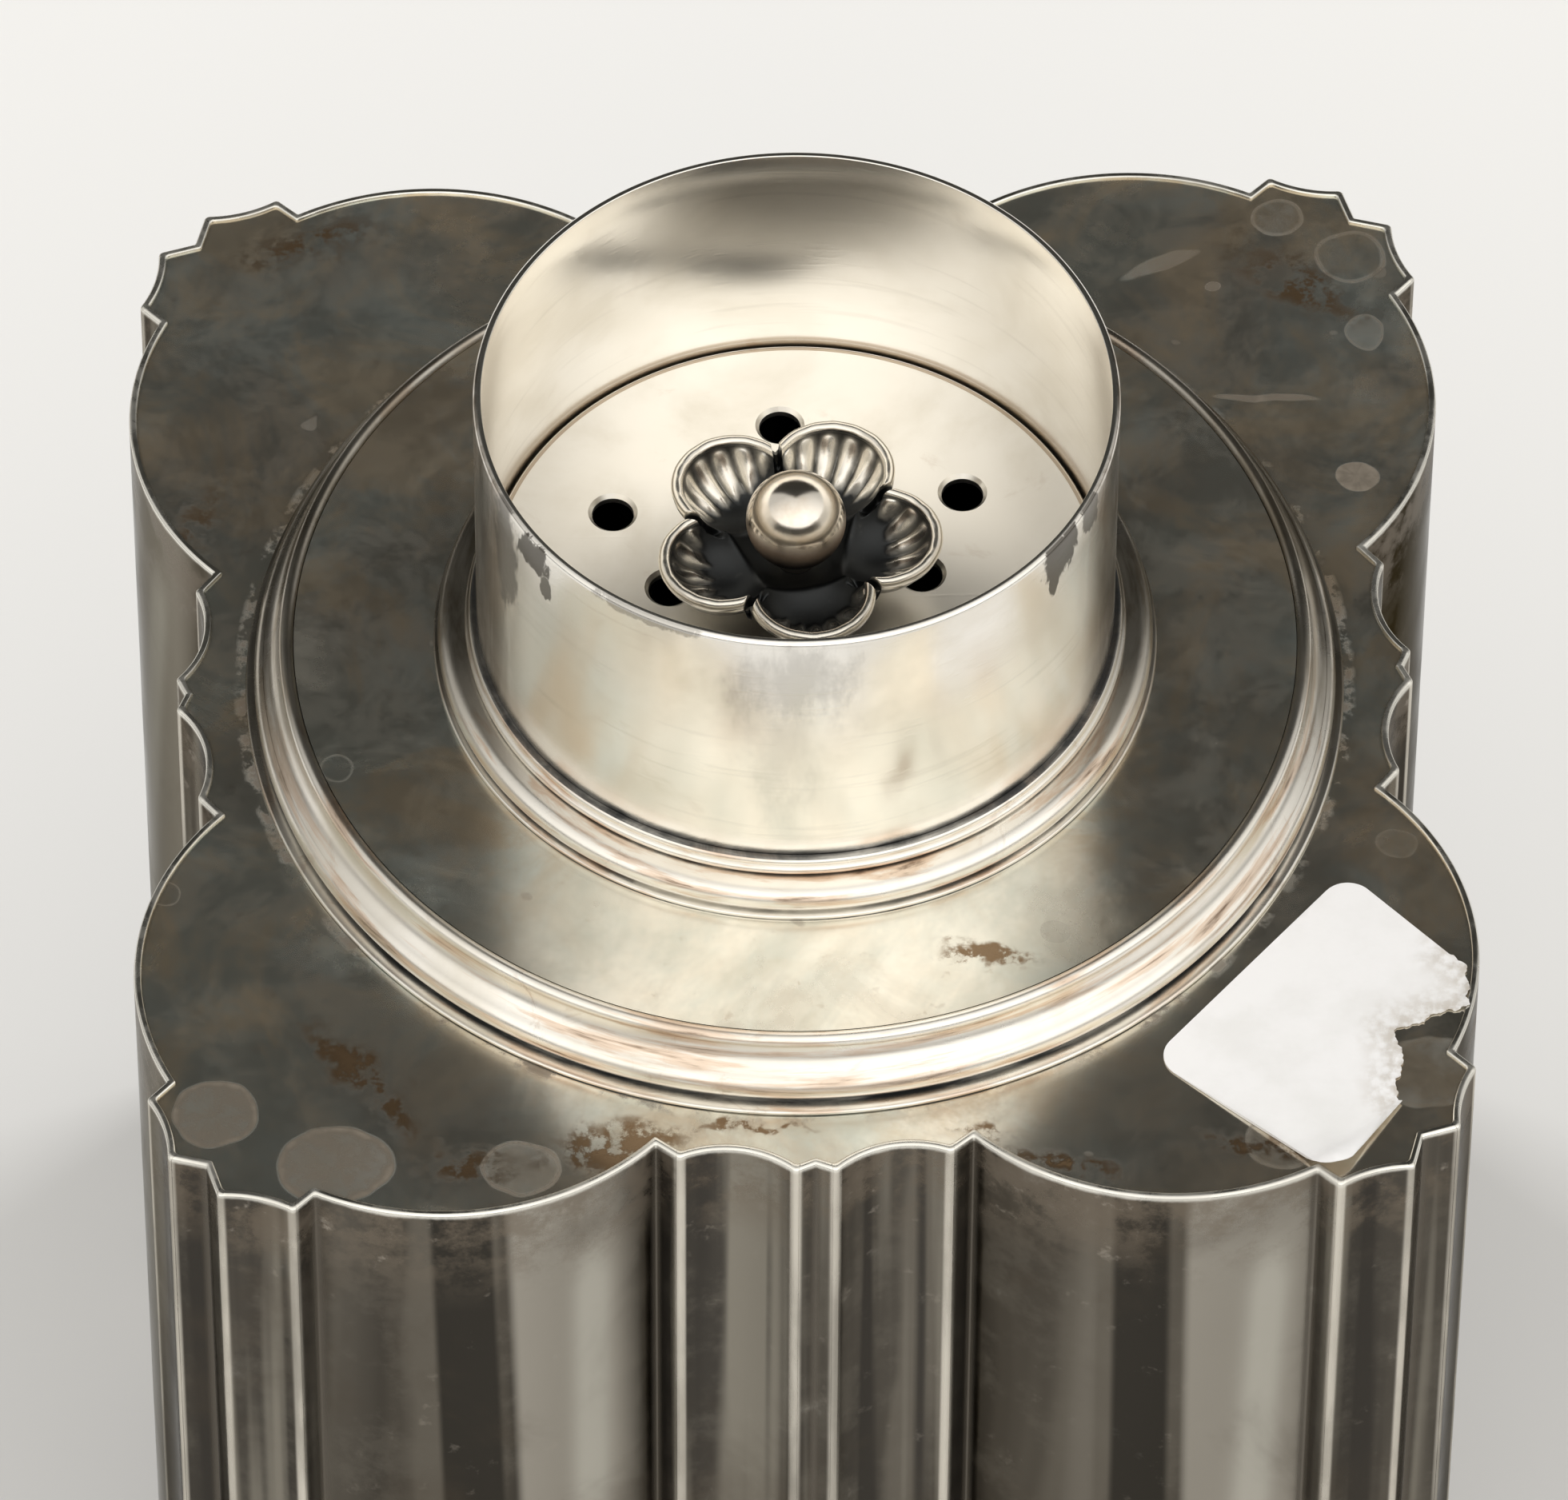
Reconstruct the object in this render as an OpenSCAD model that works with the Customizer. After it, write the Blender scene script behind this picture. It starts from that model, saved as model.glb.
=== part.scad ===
// Lobed metal tea caddy with a plain neck, a pierced lift-out inner lid and a flower knob.
// Millimetres, +Z up. The origin is the centre of the underside of the base plate.

/* [Body] */
// Height of the shoulder plate's top above the table
shoulder_height = 110; // [80:1:150]
// Thickness of the wall sheet
wall = 0.6; // [0.4:0.1:0.9]
// How far the wall's edge stands above the shoulder plate
wall_lip = 0.25; // [0.1:0.05:0.5]
// Thickness of the base plate
base_thickness = 1.2; // [0.8:0.1:2]
// How far the base plate stands out beyond the wall
base_margin = 0.6; // [0.2:0.1:1]
// Thickness of the shoulder plate
shoulder_thickness = 0.8; // [0.6:0.1:1.2]

/* [Body outline] */
// Radius of each big lobe
lobe_radius = 22.8; // [22:0.1:23.2]
// Distance of a lobe's centre from the middle of its side
lobe_along = 28.2; // [27.8:0.1:28.6]
// Distance of a lobe's centre from the body's axis
lobe_out = 29.5; // [29:0.1:30]
// Radius of the hollow on each side of the middle rib
rib_hollow_radius = 8; // [7.9:0.05:8.1]
// Radius of the hollow beside each corner reed
corner_hollow_radius = 10.2; // [10.1:0.05:10.3]

/* [Shoulder] */
// Radius of the round opening under the moulding
shoulder_opening_radius = 39; // [36:0.5:39]
// Inner radius of the moulding, where the dished ring ends
moulding_inner_radius = 39.4; // [39:0.1:39.6]
// Outer radius of the moulding's flat foot
moulding_foot_radius = 43.3; // [43:0.1:43.6]
// Height of the moulding's top roll above the shoulder plate
moulding_height = 6; // [5.8:0.1:6.2]
// Thickness of the dished ring
dish_thickness = 0.7; // [0.5:0.1:1]

/* [Neck] */
// Outer radius of the neck, the seat of a slip-on cap
neck_radius = 25; // [24.8:0.05:25.1]
// Thickness of the neck tube
neck_wall = 0.65; // [0.5:0.05:0.8]
// Height of the rim above the shoulder plate
rim_height = 35; // [30:0.5:40]
// Outer radius of the thin ring at the foot of the neck
foot_ring_radius = 26; // [25.8:0.1:26.2]
// Outer radius of the round moulding at the foot of the neck
neck_moulding_radius = 28.1; // [27.8:0.1:28.3]

/* [Inner lid] */
// Radius of the inner lid
lid_radius = 24; // [23.6:0.1:24]
// Height of the inner lid's top above the shoulder plate
lid_height = 12.5; // [11:0.5:16]
// Thickness of the lid plate
lid_thickness = 0.8; // [0.6:0.1:1]
// Depth of the skirt below the lid plate
skirt_depth = 5.2; // [4:0.2:5.2]
// Thickness of the skirt
skirt_wall = 0.6; // [0.5:0.1:0.8]
// Inner radius of the ledge that the skirt rests on
ledge_inner_radius = 22.8; // [22:0.1:23]
// Radius of each air hole
air_hole_radius = 1.65; // [1.2:0.05:1.8]
// Distance of the outer air holes from the axis
outer_holes_at = 15.9; // [15:0.1:17]
// Distance of the inner air holes from the axis
inner_holes_at = 9.9; // [9.5:0.1:10.5]

/* [Flower knob] */
// Radius of the ball in the flower's middle
ball_radius = 3.9; // [3.5:0.1:4]
// Height of the ball's centre above the lid plate
ball_height = 7.4; // [7.2:0.1:7.6]
// Outer radius of each petal's scoop
petal_radius = 5; // [4.8:0.1:5.1]
// Distance of each scoop's centre from the axis
petal_at = 6.4; // [6.3:0.1:6.5]
// Height of the petals' lips above the lid plate
lip_height = 6.6; // [6.4:0.1:6.8]
// Thickness of the petals
petal_wall = 0.7; // [0.6:0.1:0.8]
// Radius of the smooth bowl round the ball, on its inside
bowl_radius = 6.6; // [6.4:0.1:6.8]

/* [Hidden] */
$fn = 96;

tarnished = [0.27, 0.26, 0.23];
dark_wall = [0.30, 0.28, 0.24];
cream_silver = [0.86, 0.81, 0.72];
oxidised = [0.20, 0.21, 0.21];

// Half the body's widest size, used only for clearance shapes
reach = 60;

// The middle rib of one side: two reeds with a groove between them, standing out along +Y.
// The points at rib_hollow_centre are the centres of the two hollows cut beside the reeds.
rib_hollow_centre = [7.2, 54.5];
rib_points = [[-13, 0], [13, 0], [13, 45.2], [10.5, 47.2], rib_hollow_centre, [1.6, 48.8], [0, 48.1],
              [-1.6, 48.8], [-rib_hollow_centre[0], rib_hollow_centre[1]], [-10.5, 47.2], [-13, 45.2]];

// One corner of the body, with a reed on each side of the notch on the diagonal.
corner_hollow_centre = [45.7, 60];
corner_points = [[30, 30], [48.3, 36.9], [51.4, 40.2], [corner_hollow_centre[1], corner_hollow_centre[0]],
                 [49.8, 46], [46.85, 46.85], [46, 49.8], corner_hollow_centre, [40.2, 51.4], [36.9, 48.3]];
core_half_width = 30;

// Heights of the shoulder and lid above the table
dish_rim = 5.7;
dish_floor = 5.55;
dish_flat_radius = 28.4;
rim_z = shoulder_height + rim_height;
lid_z = shoulder_height + lid_height;
neck_bore = neck_radius - neck_wall;
ledge_z = lid_z - lid_thickness - skirt_depth;
ledge_thickness = ledge_z - (shoulder_height + dish_floor);
foot_ring_top = 9.4;
foot_ring_bottom = 7.95;
neck_bottom = 9.5;
ball_z = lid_z + ball_height;

// Air holes, petals and the post
air_holes_per_ring = 6;
outer_holes_turn = 32.5;
inner_holes_turn = 2.5;
bevel = 0.3;
petals = 5;
petal_turn = -9;
scoop_height = 7.2;
veins_per_petal = 5;
vein_spread = 19;
vein_width = 0.55;
vein_height = 0.3;
bowl_height = 9;
hub_radius = 3.6;
hub_bottom = 1.6;
hub_top = 3.2;
post_radius = 1.5;
post_foot_radius = 2.6;
post_into_ball = 2;
post_end = 0.4;
nut_across = 6;
nut_height = 1.6;

// Outward unit normal of the edge from a to b of a counter-clockwise outline.
function edge_normal(a, b) = [b[1] - a[1], a[0] - b[0]] / norm(b - a);

// The outline with every edge moved inwards by inset, its corners kept sharp.
function inset_outline(points, inset) = let (n = len(points)) [
    for (i = [0:n - 1])
        let (before = edge_normal(points[(i + n - 1) % n], points[i]),
             after = edge_normal(points[i], points[(i + 1) % n]))
        points[i] - inset * (before + after) / (1 + before * after)
];

// One side's middle rib with its two hollows.
module side_rib(inset) {
    difference() {
        polygon(inset_outline(rib_points, inset));
        for (side = [-1, 1])
            translate([side * rib_hollow_centre[0], rib_hollow_centre[1]])
                circle(rib_hollow_radius + inset);
    }
}

// One corner with its two hollows.
module corner_reeds(inset) {
    difference() {
        polygon(inset_outline(corner_points, inset));
        for (centre = [corner_hollow_centre, [corner_hollow_centre[1], corner_hollow_centre[0]]])
            translate(centre)
                circle(corner_hollow_radius + inset);
    }
}

// The body's plan: four sides, each with a middle rib between two lobes, and four reeded corners.
module body_outline(inset = 0) {
    square(2 * core_half_width, center = true);
    for (turn = [0:90:270])
        rotate(turn) {
            side_rib(inset);
            corner_reeds(inset);
            for (side = [-1, 1])
                translate([side * lobe_along, lobe_out])
                    circle(lobe_radius - inset);
        }
}

// A quarter of the body wall, round one corner, from the middle of one side to the next.
module wall_quarter(turn) {
    color(dark_wall)
        translate([0, 0, base_thickness])
            linear_extrude(shoulder_height + wall_lip - base_thickness)
                intersection() {
                    difference() {
                        body_outline();
                        body_outline(wall);
                    }
                    rotate(turn)
                        square(reach);
                }
}

module wall_front_right() { wall_quarter(-90); }
module wall_back_right() { wall_quarter(0); }
module wall_back_left() { wall_quarter(90); }
module wall_front_left() { wall_quarter(180); }

module base_plate() {
    color(dark_wall)
        linear_extrude(base_thickness)
            body_outline(-base_margin);
}

module shoulder_plate() {
    color(tarnished)
        translate([0, 0, shoulder_height - shoulder_thickness])
            linear_extrude(shoulder_thickness)
                difference() {
                    body_outline(wall);
                    circle(shoulder_opening_radius);
                }
}

// Section of the stepped ring: flat foot, undercut, round bead, hollow and top roll.
module moulding_section() {
    roll = 0.6;
    bead = 1.35;
    hollow = 2.6;
    foot_height = 0.4;
    undercut_width = 2.7;
    body_width = 2.6;
    bead_centre = [41.25, 1.75];
    roll_centre = [moulding_inner_radius + roll, moulding_height - roll];
    hollow_centre = [43.1, 5.2];
    translate([moulding_inner_radius, 0])
        square([moulding_foot_radius - moulding_inner_radius, foot_height]);
    translate([moulding_inner_radius, 0])
        square([undercut_width, bead_centre[1]]);
    translate(bead_centre)
        circle(bead);
    translate(roll_centre)
        circle(roll);
    translate([moulding_inner_radius, 0])
        square([roll, moulding_height - roll]);
    difference() {
        translate([moulding_inner_radius, foot_height])
            square([body_width, moulding_height - roll - foot_height]);
        translate(hollow_centre)
            circle(hollow);
    }
}

module shoulder_moulding() {
    color(cream_silver)
        translate([0, 0, shoulder_height])
            rotate_extrude()
                moulding_section();
}

module dished_ring() {
    color(tarnished)
        translate([0, 0, shoulder_height])
            rotate_extrude()
                polygon([[neck_bore, dish_floor - dish_thickness],
                         [moulding_inner_radius, dish_rim - dish_thickness],
                         [moulding_inner_radius, dish_rim],
                         [dish_flat_radius, dish_floor],
                         [neck_bore, dish_floor]]);
}

// Round moulding that hides the joint between the neck and the dished ring.
module neck_moulding() {
    round_radius = 1.15;
    foot_height = 0.35;
    centre_height = foot_ring_bottom - round_radius;
    color(cream_silver)
        translate([0, 0, shoulder_height])
            rotate_extrude() {
                translate([neck_moulding_radius - round_radius, centre_height])
                    circle(round_radius);
                translate([neck_bore, dish_floor])
                    square([neck_moulding_radius - round_radius - neck_bore,
                            foot_ring_bottom - dish_floor]);
                translate([neck_bore, dish_floor])
                    square([dish_flat_radius - neck_bore, foot_height]);
            }
}

// Thin ring that carries the neck tube, with a quarter round outside and a raised seat inside.
module neck_foot_ring() {
    width = foot_ring_radius - neck_radius;
    seat_radius = neck_radius - 0.3;
    color(cream_silver)
        translate([0, 0, shoulder_height])
            rotate_extrude() {
                translate([neck_bore, foot_ring_bottom])
                    square([foot_ring_radius - neck_bore, foot_ring_top - foot_ring_bottom - width]);
                intersection() {
                    translate([neck_radius, foot_ring_top - width])
                        circle(width);
                    translate([neck_radius, foot_ring_top - width])
                        square(width);
                }
                polygon([[neck_bore, foot_ring_bottom],
                         [neck_radius, foot_ring_bottom],
                         [neck_radius, foot_ring_top],
                         [seat_radius, neck_bottom],
                         [neck_bore, neck_bottom]]);
            }
}

module neck_collar() {
    height = rim_height - neck_bottom;
    color(cream_silver)
        translate([0, 0, shoulder_height + neck_bottom])
            difference() {
                cylinder(r = neck_radius, h = height);
                translate([0, 0, -1])
                    cylinder(r = neck_bore, h = height + 2);
            }
}

// Narrow ring soldered inside the neck, on which the inner lid's skirt rests.
module lid_ledge() {
    color(cream_silver)
        translate([0, 0, ledge_z - ledge_thickness])
            difference() {
                cylinder(r = neck_bore, h = ledge_thickness);
                translate([0, 0, -1])
                    cylinder(r = ledge_inner_radius, h = ledge_thickness + 2);
            }
}

// One ring of bevelled air holes, as the shapes to cut away.
module air_hole_ring(distance, turn) {
    for (i = [0:air_holes_per_ring - 1])
        rotate(turn + i * 360 / air_holes_per_ring)
            translate([distance, 0, -lid_thickness - 1]) {
                cylinder(r = air_hole_radius, h = lid_thickness + 2);
                translate([0, 0, lid_thickness + 1 - bevel])
                    cylinder(r1 = air_hole_radius, r2 = air_hole_radius + 2 * bevel, h = 2 * bevel);
            }
}

module inner_lid_plate() {
    color(cream_silver)
        translate([0, 0, lid_z])
            difference() {
                translate([0, 0, -lid_thickness])
                    cylinder(r = lid_radius, h = lid_thickness);
                air_hole_ring(outer_holes_at, outer_holes_turn);
                air_hole_ring(inner_holes_at, inner_holes_turn);
                translate([0, 0, -lid_thickness - 1])
                    cylinder(r = post_radius, h = lid_thickness + 2);
            }
}

module inner_lid_skirt() {
    color(cream_silver)
        translate([0, 0, ledge_z])
            difference() {
                cylinder(r = lid_radius, h = skirt_depth);
                translate([0, 0, -1])
                    cylinder(r = lid_radius - skirt_wall, h = skirt_depth + 2);
            }
}

// Places its children at each petal, with +X pointing out from the flower's axis.
module each_petal() {
    for (i = [0:petals - 1])
        rotate(petal_turn + i * 360 / petals)
            children();
}

// Thin blades through a scoop's centre, fanned about its outward axis, where its veins stand.
module vein_blades() {
    for (i = [0:veins_per_petal - 1])
        rotate([vein_spread * (i - (veins_per_petal - 1) / 2), 0, 0])
            translate([-petal_radius, -vein_width / 2, -petal_radius])
                cube([2 * petal_radius, vein_width, petal_radius]);
}

// The hollow of one petal, without the space that its veins stand in.
module petal_hollow() {
    hollow_radius = petal_radius - petal_wall;
    translate([petal_at, 0, scoop_height])
        difference() {
            sphere(hollow_radius);
            difference() {
                vein_blades();
                sphere(hollow_radius - vein_height);
            }
        }
}

// Five scoops round one open bowl, cast in one with the hub below them.
module flower_petals() {
    color(oxidised)
        translate([0, 0, lid_z])
            difference() {
                union() {
                    translate([0, 0, hub_bottom])
                        cylinder(r = hub_radius, h = hub_top - hub_bottom);
                    intersection() {
                        union() {
                            translate([0, 0, bowl_height])
                                sphere(bowl_radius + petal_wall);
                            each_petal()
                                translate([petal_at, 0, scoop_height])
                                    sphere(petal_radius);
                        }
                        cylinder(r = reach, h = lip_height);
                    }
                }
                translate([0, 0, bowl_height])
                    sphere(bowl_radius);
                each_petal()
                    petal_hollow();
                translate([0, 0, hub_bottom - 1])
                    cylinder(r = post_radius, h = hub_top - hub_bottom + 2);
            }
}

module flower_ball() {
    color(cream_silver)
        translate([0, 0, ball_z])
            difference() {
                sphere(ball_radius);
                translate([0, 0, -ball_radius - 1])
                    cylinder(r = post_radius, h = post_into_ball + 1);
            }
}

// Post that carries the ball and clamps the flower to the lid, with a round foot on the lid.
module knob_post() {
    bottom = -lid_thickness - nut_height - post_end;
    top = ball_height - ball_radius + post_into_ball;
    color(oxidised)
        translate([0, 0, lid_z]) {
            translate([0, 0, bottom])
                cylinder(r = post_radius, h = top - bottom);
            cylinder(r = post_foot_radius, h = hub_bottom);
        }
}

module post_nut() {
    color(cream_silver)
        translate([0, 0, lid_z - lid_thickness - nut_height])
            difference() {
                cylinder(d = nut_across / cos(30), h = nut_height, $fn = 6);
                translate([0, 0, -1])
                    cylinder(r = post_radius, h = nut_height + 2);
            }
}

base_plate();
wall_front_right();
wall_back_right();
wall_back_left();
wall_front_left();
shoulder_plate();
shoulder_moulding();
dished_ring();
neck_moulding();
neck_foot_ring();
neck_collar();
lid_ledge();
inner_lid_plate();
inner_lid_skirt();
flower_petals();
flower_ball();
knob_post();
post_nut();
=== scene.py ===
import math
import random
from collections import namedtuple

import bmesh
import bpy
import numpy
from mathutils import Matrix, Vector, geometry, noise


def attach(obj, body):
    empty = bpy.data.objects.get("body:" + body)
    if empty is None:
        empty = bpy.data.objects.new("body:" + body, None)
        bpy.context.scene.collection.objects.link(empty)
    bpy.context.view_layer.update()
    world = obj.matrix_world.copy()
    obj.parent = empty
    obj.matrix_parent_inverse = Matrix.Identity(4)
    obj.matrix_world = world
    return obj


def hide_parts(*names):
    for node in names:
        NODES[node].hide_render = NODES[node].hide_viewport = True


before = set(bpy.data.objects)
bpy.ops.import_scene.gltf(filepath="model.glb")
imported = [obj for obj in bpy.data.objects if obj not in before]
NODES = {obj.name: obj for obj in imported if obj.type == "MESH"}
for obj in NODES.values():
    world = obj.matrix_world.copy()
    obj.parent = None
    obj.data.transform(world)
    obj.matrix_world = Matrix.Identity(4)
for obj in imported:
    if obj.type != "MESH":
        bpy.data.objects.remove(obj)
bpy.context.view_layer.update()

MM = 0.001

# ---------------------------------------------------------------- sizes, in millimetres, as in the CAD source
SHOULDER = 110.0            # top of the shoulder plate above the table
WALL = 0.6                  # wall sheet
LIP = 0.25                  # wall edge above the shoulder plate
BASE = 1.2                  # base plate thickness
BASE_MARGIN = 0.6
PLATE = 0.8                 # shoulder plate thickness
PLATE_OPENING = 39.0        # radius of its opening
NECK_R = 25.0
NECK_BORE = 24.35
RIM = SHOULDER + 35.0
RIM_ROUND = 0.45
LID_TOP = SHOULDER + 12.5
LID_R = 24.0
DISH_FLAT_R = 28.4          # where the dished ring's floor ends at the neck moulding
DISH_SHEET = 0.7
MOULD_IN = 39.4             # bore and foot of the shoulder moulding
FOOT_R = 43.3

# Heights above the shoulder plate
DISH_RIM, DISH_FLOOR = 5.7, 5.55
NECK_FOOT = 7.95            # where the foot ring stands on the neck moulding
NECK_BOTTOM = 9.5           # foot of the neck tube

# Flower, heights above the inner lid
BALL_R = 3.9
BALL_Z = 7.4
PETAL_R = 5.0
PETAL_AT = 6.4
PETAL_Z = 7.2
PETAL_WALL = 0.7
BOWL_R = 6.6
BOWL_Z = 9.0
LIP_Z = 6.6
HUB_R = 3.6
HUB_BOTTOM, HUB_TOP = 1.6, 3.2
POST_R = 1.5
PETALS = 5
PETAL_TURN = -9.0
RIB_PITCH = math.radians(11.5)
RIB_HEIGHT = 0.5
RIB_FAN = 1.2               # how far from the axis the ribs of a petal would meet
RIBS_FROM, RIBS_RUN = 8.0, 1.1          # where the ribs rise, and over what distance
LIP_CURL = 0.15             # how far a petal's lip curls outwards
LIP_THICK = 0.9
ROLL_WIDTH = 0.8            # rolled rim of a petal
ROLL_RISE = 0.4
ROLL_GROOVE = 0.4           # groove between the ribs and the rolled rim
SLIT_DEPTH, SLIT_HALF = 1.6, 0.36
SLIT_FROM, SLIT_RUN = 5.6, 1.2          # where the slits between petals deepen

# Outline of one eighth of the body, as (along the side, out from the axis); an arc is (centre, radius)
GROOVE = (0.0, 48.1)
RIB_REED = (1.6, 48.8)
RIB_HOLLOW = ((7.2, 54.5), 8.0)
RIB_EDGE = (10.5, 47.2)
RIB_FOOT = (13.0, 45.2)
LOBE = ((28.2, 29.5), 22.8)
REED_FOOT = (36.9, 48.3)
REED_EDGE = (40.2, 51.4)
CORNER_HOLLOW = ((45.7, 60.0), 10.2)
CORNER_REED = (46.0, 49.8)
CORNER_NOTCH = (46.85, 46.85)
ON_RIB_FOOT = (12.0, 46.0)      # near the two ends of the lobe's arc
ON_REED_FOOT = (38.9, 50.2)
LOBE_CENTRES = (LOBE[0], LOBE[0][::-1])    # centres of a quarter's two lobes

# Painted reflections on the walls: upright bands of sheen, a glint stripe and a dark band; and how far wear
# with painted highlights and painted shade with grime spread. Bearings are in degrees from a lobe's outward
# axis
SHADING_DROPS = (44, 36, 28, 22, 16, 12, 8, 5, 2, 0.7)    # rows of points below the top edge
BROAD_SHEEN = (15.0, 9.0, 1.0)       # bearing, half width and strength of a lobe's broad band of painted sheen
FAINT_SHEEN = (-20.0, 7.0, 0.25)      # and of its faint one
SHEEN_SEED = 98
BEARING_SPREAD, LEAN_SPREAD = 6.0, 0.12     # how far the bands vary; a lean is in degrees per millimetre
GLINT_AT, GLINT_HALF = 9.0, 4.6         # the painted glint stripe beside the broad band's middle
GLINT_LEAN, GLINT_SWING = -0.15, 3      # its own lean, and how much more than the band it leans
DARK_AT, DARK_HALF = -18.0, 6.5         # the painted dark band of reflection on its other side
REED_REACH, NOTCH_REACH = 0.42, 0.8     # how far wear with a painted highlight spreads from a reed's edge, and painted shade with grime from a notch
LIP_REACH = 0.6                 # and wear with a painted highlight from the top edge


# ---------------------------------------------------------------- plane geometry
def shifted(p, q, inset):
    """The line through p and q moved to its right-hand side by inset, as (point, unit direction)."""
    p, q = Vector(p), Vector(q)
    way = (q - p).normalized()
    return p + Vector((way.y, -way.x)) * inset, way


def line_line(first, second):
    """Where two lines cross."""
    (p, u), (q, v) = first, second
    cross = u.x * v.y - u.y * v.x
    t = ((q.x - p.x) * v.y - (q.y - p.y) * v.x) / cross
    return p + u * t


def line_circle(line, circle, near):
    """The crossing of a line and a circle that lies nearest to the point near."""
    (p, u), (centre, radius) = line, circle
    centre, near = Vector(centre), Vector(near)
    along = (centre - p).dot(u)
    foot = p + u * along
    half = math.sqrt(max(radius ** 2 - (centre - foot).length_squared, 0.0))
    return min((foot + u * half, foot - u * half), key=lambda point: (point - near).length)


def arc_between(centre, start, end, steps):
    """Points on the short arc from start to end, without the end point."""
    centre = Vector(centre)
    a, b = Vector(start) - centre, Vector(end) - centre
    turn = math.atan2(a.x * b.y - a.y * b.x, a.dot(b))
    return [centre + Matrix.Rotation(turn * i / steps, 2) @ a for i in range(steps)]


def straight(start, end, steps):
    return [Vector(start).lerp(Vector(end), i / steps) for i in range(steps)]


def eighth(inset):
    """Outline from the groove in the middle of a side to the corner notch, and where its ridges lie.

    Each point is (position, ridge): ridge is 1 on a reed's edge, -1 in a notch and 0 elsewhere."""
    groove_line = shifted(GROOVE, RIB_REED, inset)
    rib_line = shifted(RIB_EDGE, RIB_FOOT, inset)
    reed_line = shifted(REED_FOOT, REED_EDGE, inset)
    notch_line = shifted(CORNER_REED, CORNER_NOTCH, inset)
    rib_circle = (RIB_HOLLOW[0], RIB_HOLLOW[1] + inset)
    lobe_circle = (LOBE[0], LOBE[1] - inset)
    corner_circle = (CORNER_HOLLOW[0], CORNER_HOLLOW[1] + inset)
    middle = (Vector((0, 0)), Vector((0, 1)))
    diagonal = (Vector((0, 0)), Vector((1, 1)).normalized())
    groove = line_line(groove_line, middle)
    rib_reed = line_circle(groove_line, rib_circle, RIB_REED)
    rib_edge = line_circle(rib_line, rib_circle, RIB_EDGE)
    lobe_start = line_circle(rib_line, lobe_circle, ON_RIB_FOOT)
    lobe_end = line_circle(reed_line, lobe_circle, ON_REED_FOOT)
    reed_edge = line_circle(reed_line, corner_circle, REED_EDGE)
    corner_reed = line_circle(notch_line, corner_circle, CORNER_REED)
    notch = line_line(notch_line, diagonal)
    runs = [
        (-1, straight(groove, rib_reed, 6)),
        (1, arc_between(RIB_HOLLOW[0], rib_reed, rib_edge, 26)),
        (1, straight(rib_edge, lobe_start, 8)),
        (-1, arc_between(LOBE[0], lobe_start, lobe_end, 72)),
        (-1, straight(lobe_end, reed_edge, 8)),
        (1, arc_between(CORNER_HOLLOW[0], reed_edge, corner_reed, 20)),
        (1, straight(corner_reed, notch, 12)),
    ]
    points = [(p, ridge if i == 0 else 0) for ridge, run in runs for i, p in enumerate(run)]
    return points + [(notch, -1)]


def quarter(inset):
    """Outline round the corner between +Y and +X, from the middle of one side to the next."""
    first = eighth(inset)
    second = [(Vector((p.y, p.x)), ridge) for p, ridge in first[-2::-1]]
    return first + second


def rounded_corners(points, reach=0.32, notch_share=0.45, steps=4):
    """Rounds each reed's edge and notch by a short curve, with the same count of points for every inset."""
    result = []
    last = len(points) - 1
    for i, (p, ridge) in enumerate(points):
        if ridge == 0 or i in (0, last):
            result.append((p, ridge))
            continue
        amount = reach if ridge > 0 else reach * notch_share
        before = (points[i - 1][0] - p).normalized() * amount
        after = (points[i + 1][0] - p).normalized() * amount
        for k in range(steps + 1):
            t = k / steps
            result.append((p + before * (1 - t) ** 2 + after * t ** 2, ridge))
    return result


# ---------------------------------------------------------------- mesh building
def new_piece(name, verts, faces, body, slot, material, replaces=(), sharp=40, attributes=None):
    """A mesh piece from points in millimetres, on a body, and the CAD nodes it stands for; slot is not used.
    """
    mesh = bpy.data.meshes.new(name)
    mesh.from_pydata([tuple(c * MM for c in v) for v in verts], [], faces)
    mesh.validate()
    for label, values in (attributes or {}).items():
        layer = mesh.attributes.new(label, "FLOAT", "POINT")
        layer.data.foreach_set("value", values)
    finish_mesh(mesh, sharp)
    return add_object(name, mesh, body, material, replaces)


def finish_mesh(mesh, sharp, weld=0.0):
    """Doubles merged within weld, outward normals, smooth shading and sharp edges above an angle."""
    work = bmesh.new()
    work.from_mesh(mesh)
    if weld:
        bmesh.ops.remove_doubles(work, verts=work.verts, dist=weld)
    bmesh.ops.recalc_face_normals(work, faces=work.faces)
    work.to_mesh(mesh)
    work.free()
    mesh.shade_smooth()
    mesh.set_sharp_from_angle(angle=math.radians(sharp))


def add_object(name, mesh, body, material, replaces=()):
    piece = bpy.data.objects.new(name, mesh)
    bpy.context.scene.collection.objects.link(piece)
    mesh.materials.clear()
    mesh.materials.append(material)
    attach(piece, body)
    if replaces:
        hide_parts(*replaces)
    return piece


def bridge(rows, wrap_rows, wrap_columns):
    """Quads between equal rows of points whose vertices are numbered row by row."""
    count, width = len(rows), len(rows[0])
    faces = []
    for r in range(count if wrap_rows else count - 1):
        for c in range(width if wrap_columns else width - 1):
            a = r * width + c
            b = r * width + (c + 1) % width
            d = ((r + 1) % count) * width + c
            e = ((r + 1) % count) * width + (c + 1) % width
            faces.append((a, b, e, d))
    return faces


def lathe(name, profile, segments=288, shelter=None, **details):
    """Turns a closed (radius, height) profile about the Z axis."""
    rows = []
    for s in range(segments):
        angle = 2 * math.pi * s / segments
        rows.append([(r * math.cos(angle), r * math.sin(angle), z) for r, z in profile])
    verts = [v for row in rows for v in row]
    attributes = {"shelter": (shelter or [0.0] * len(profile)) * segments}
    return new_piece(name, verts, bridge(rows, True, True), attributes=attributes, **details)


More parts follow.
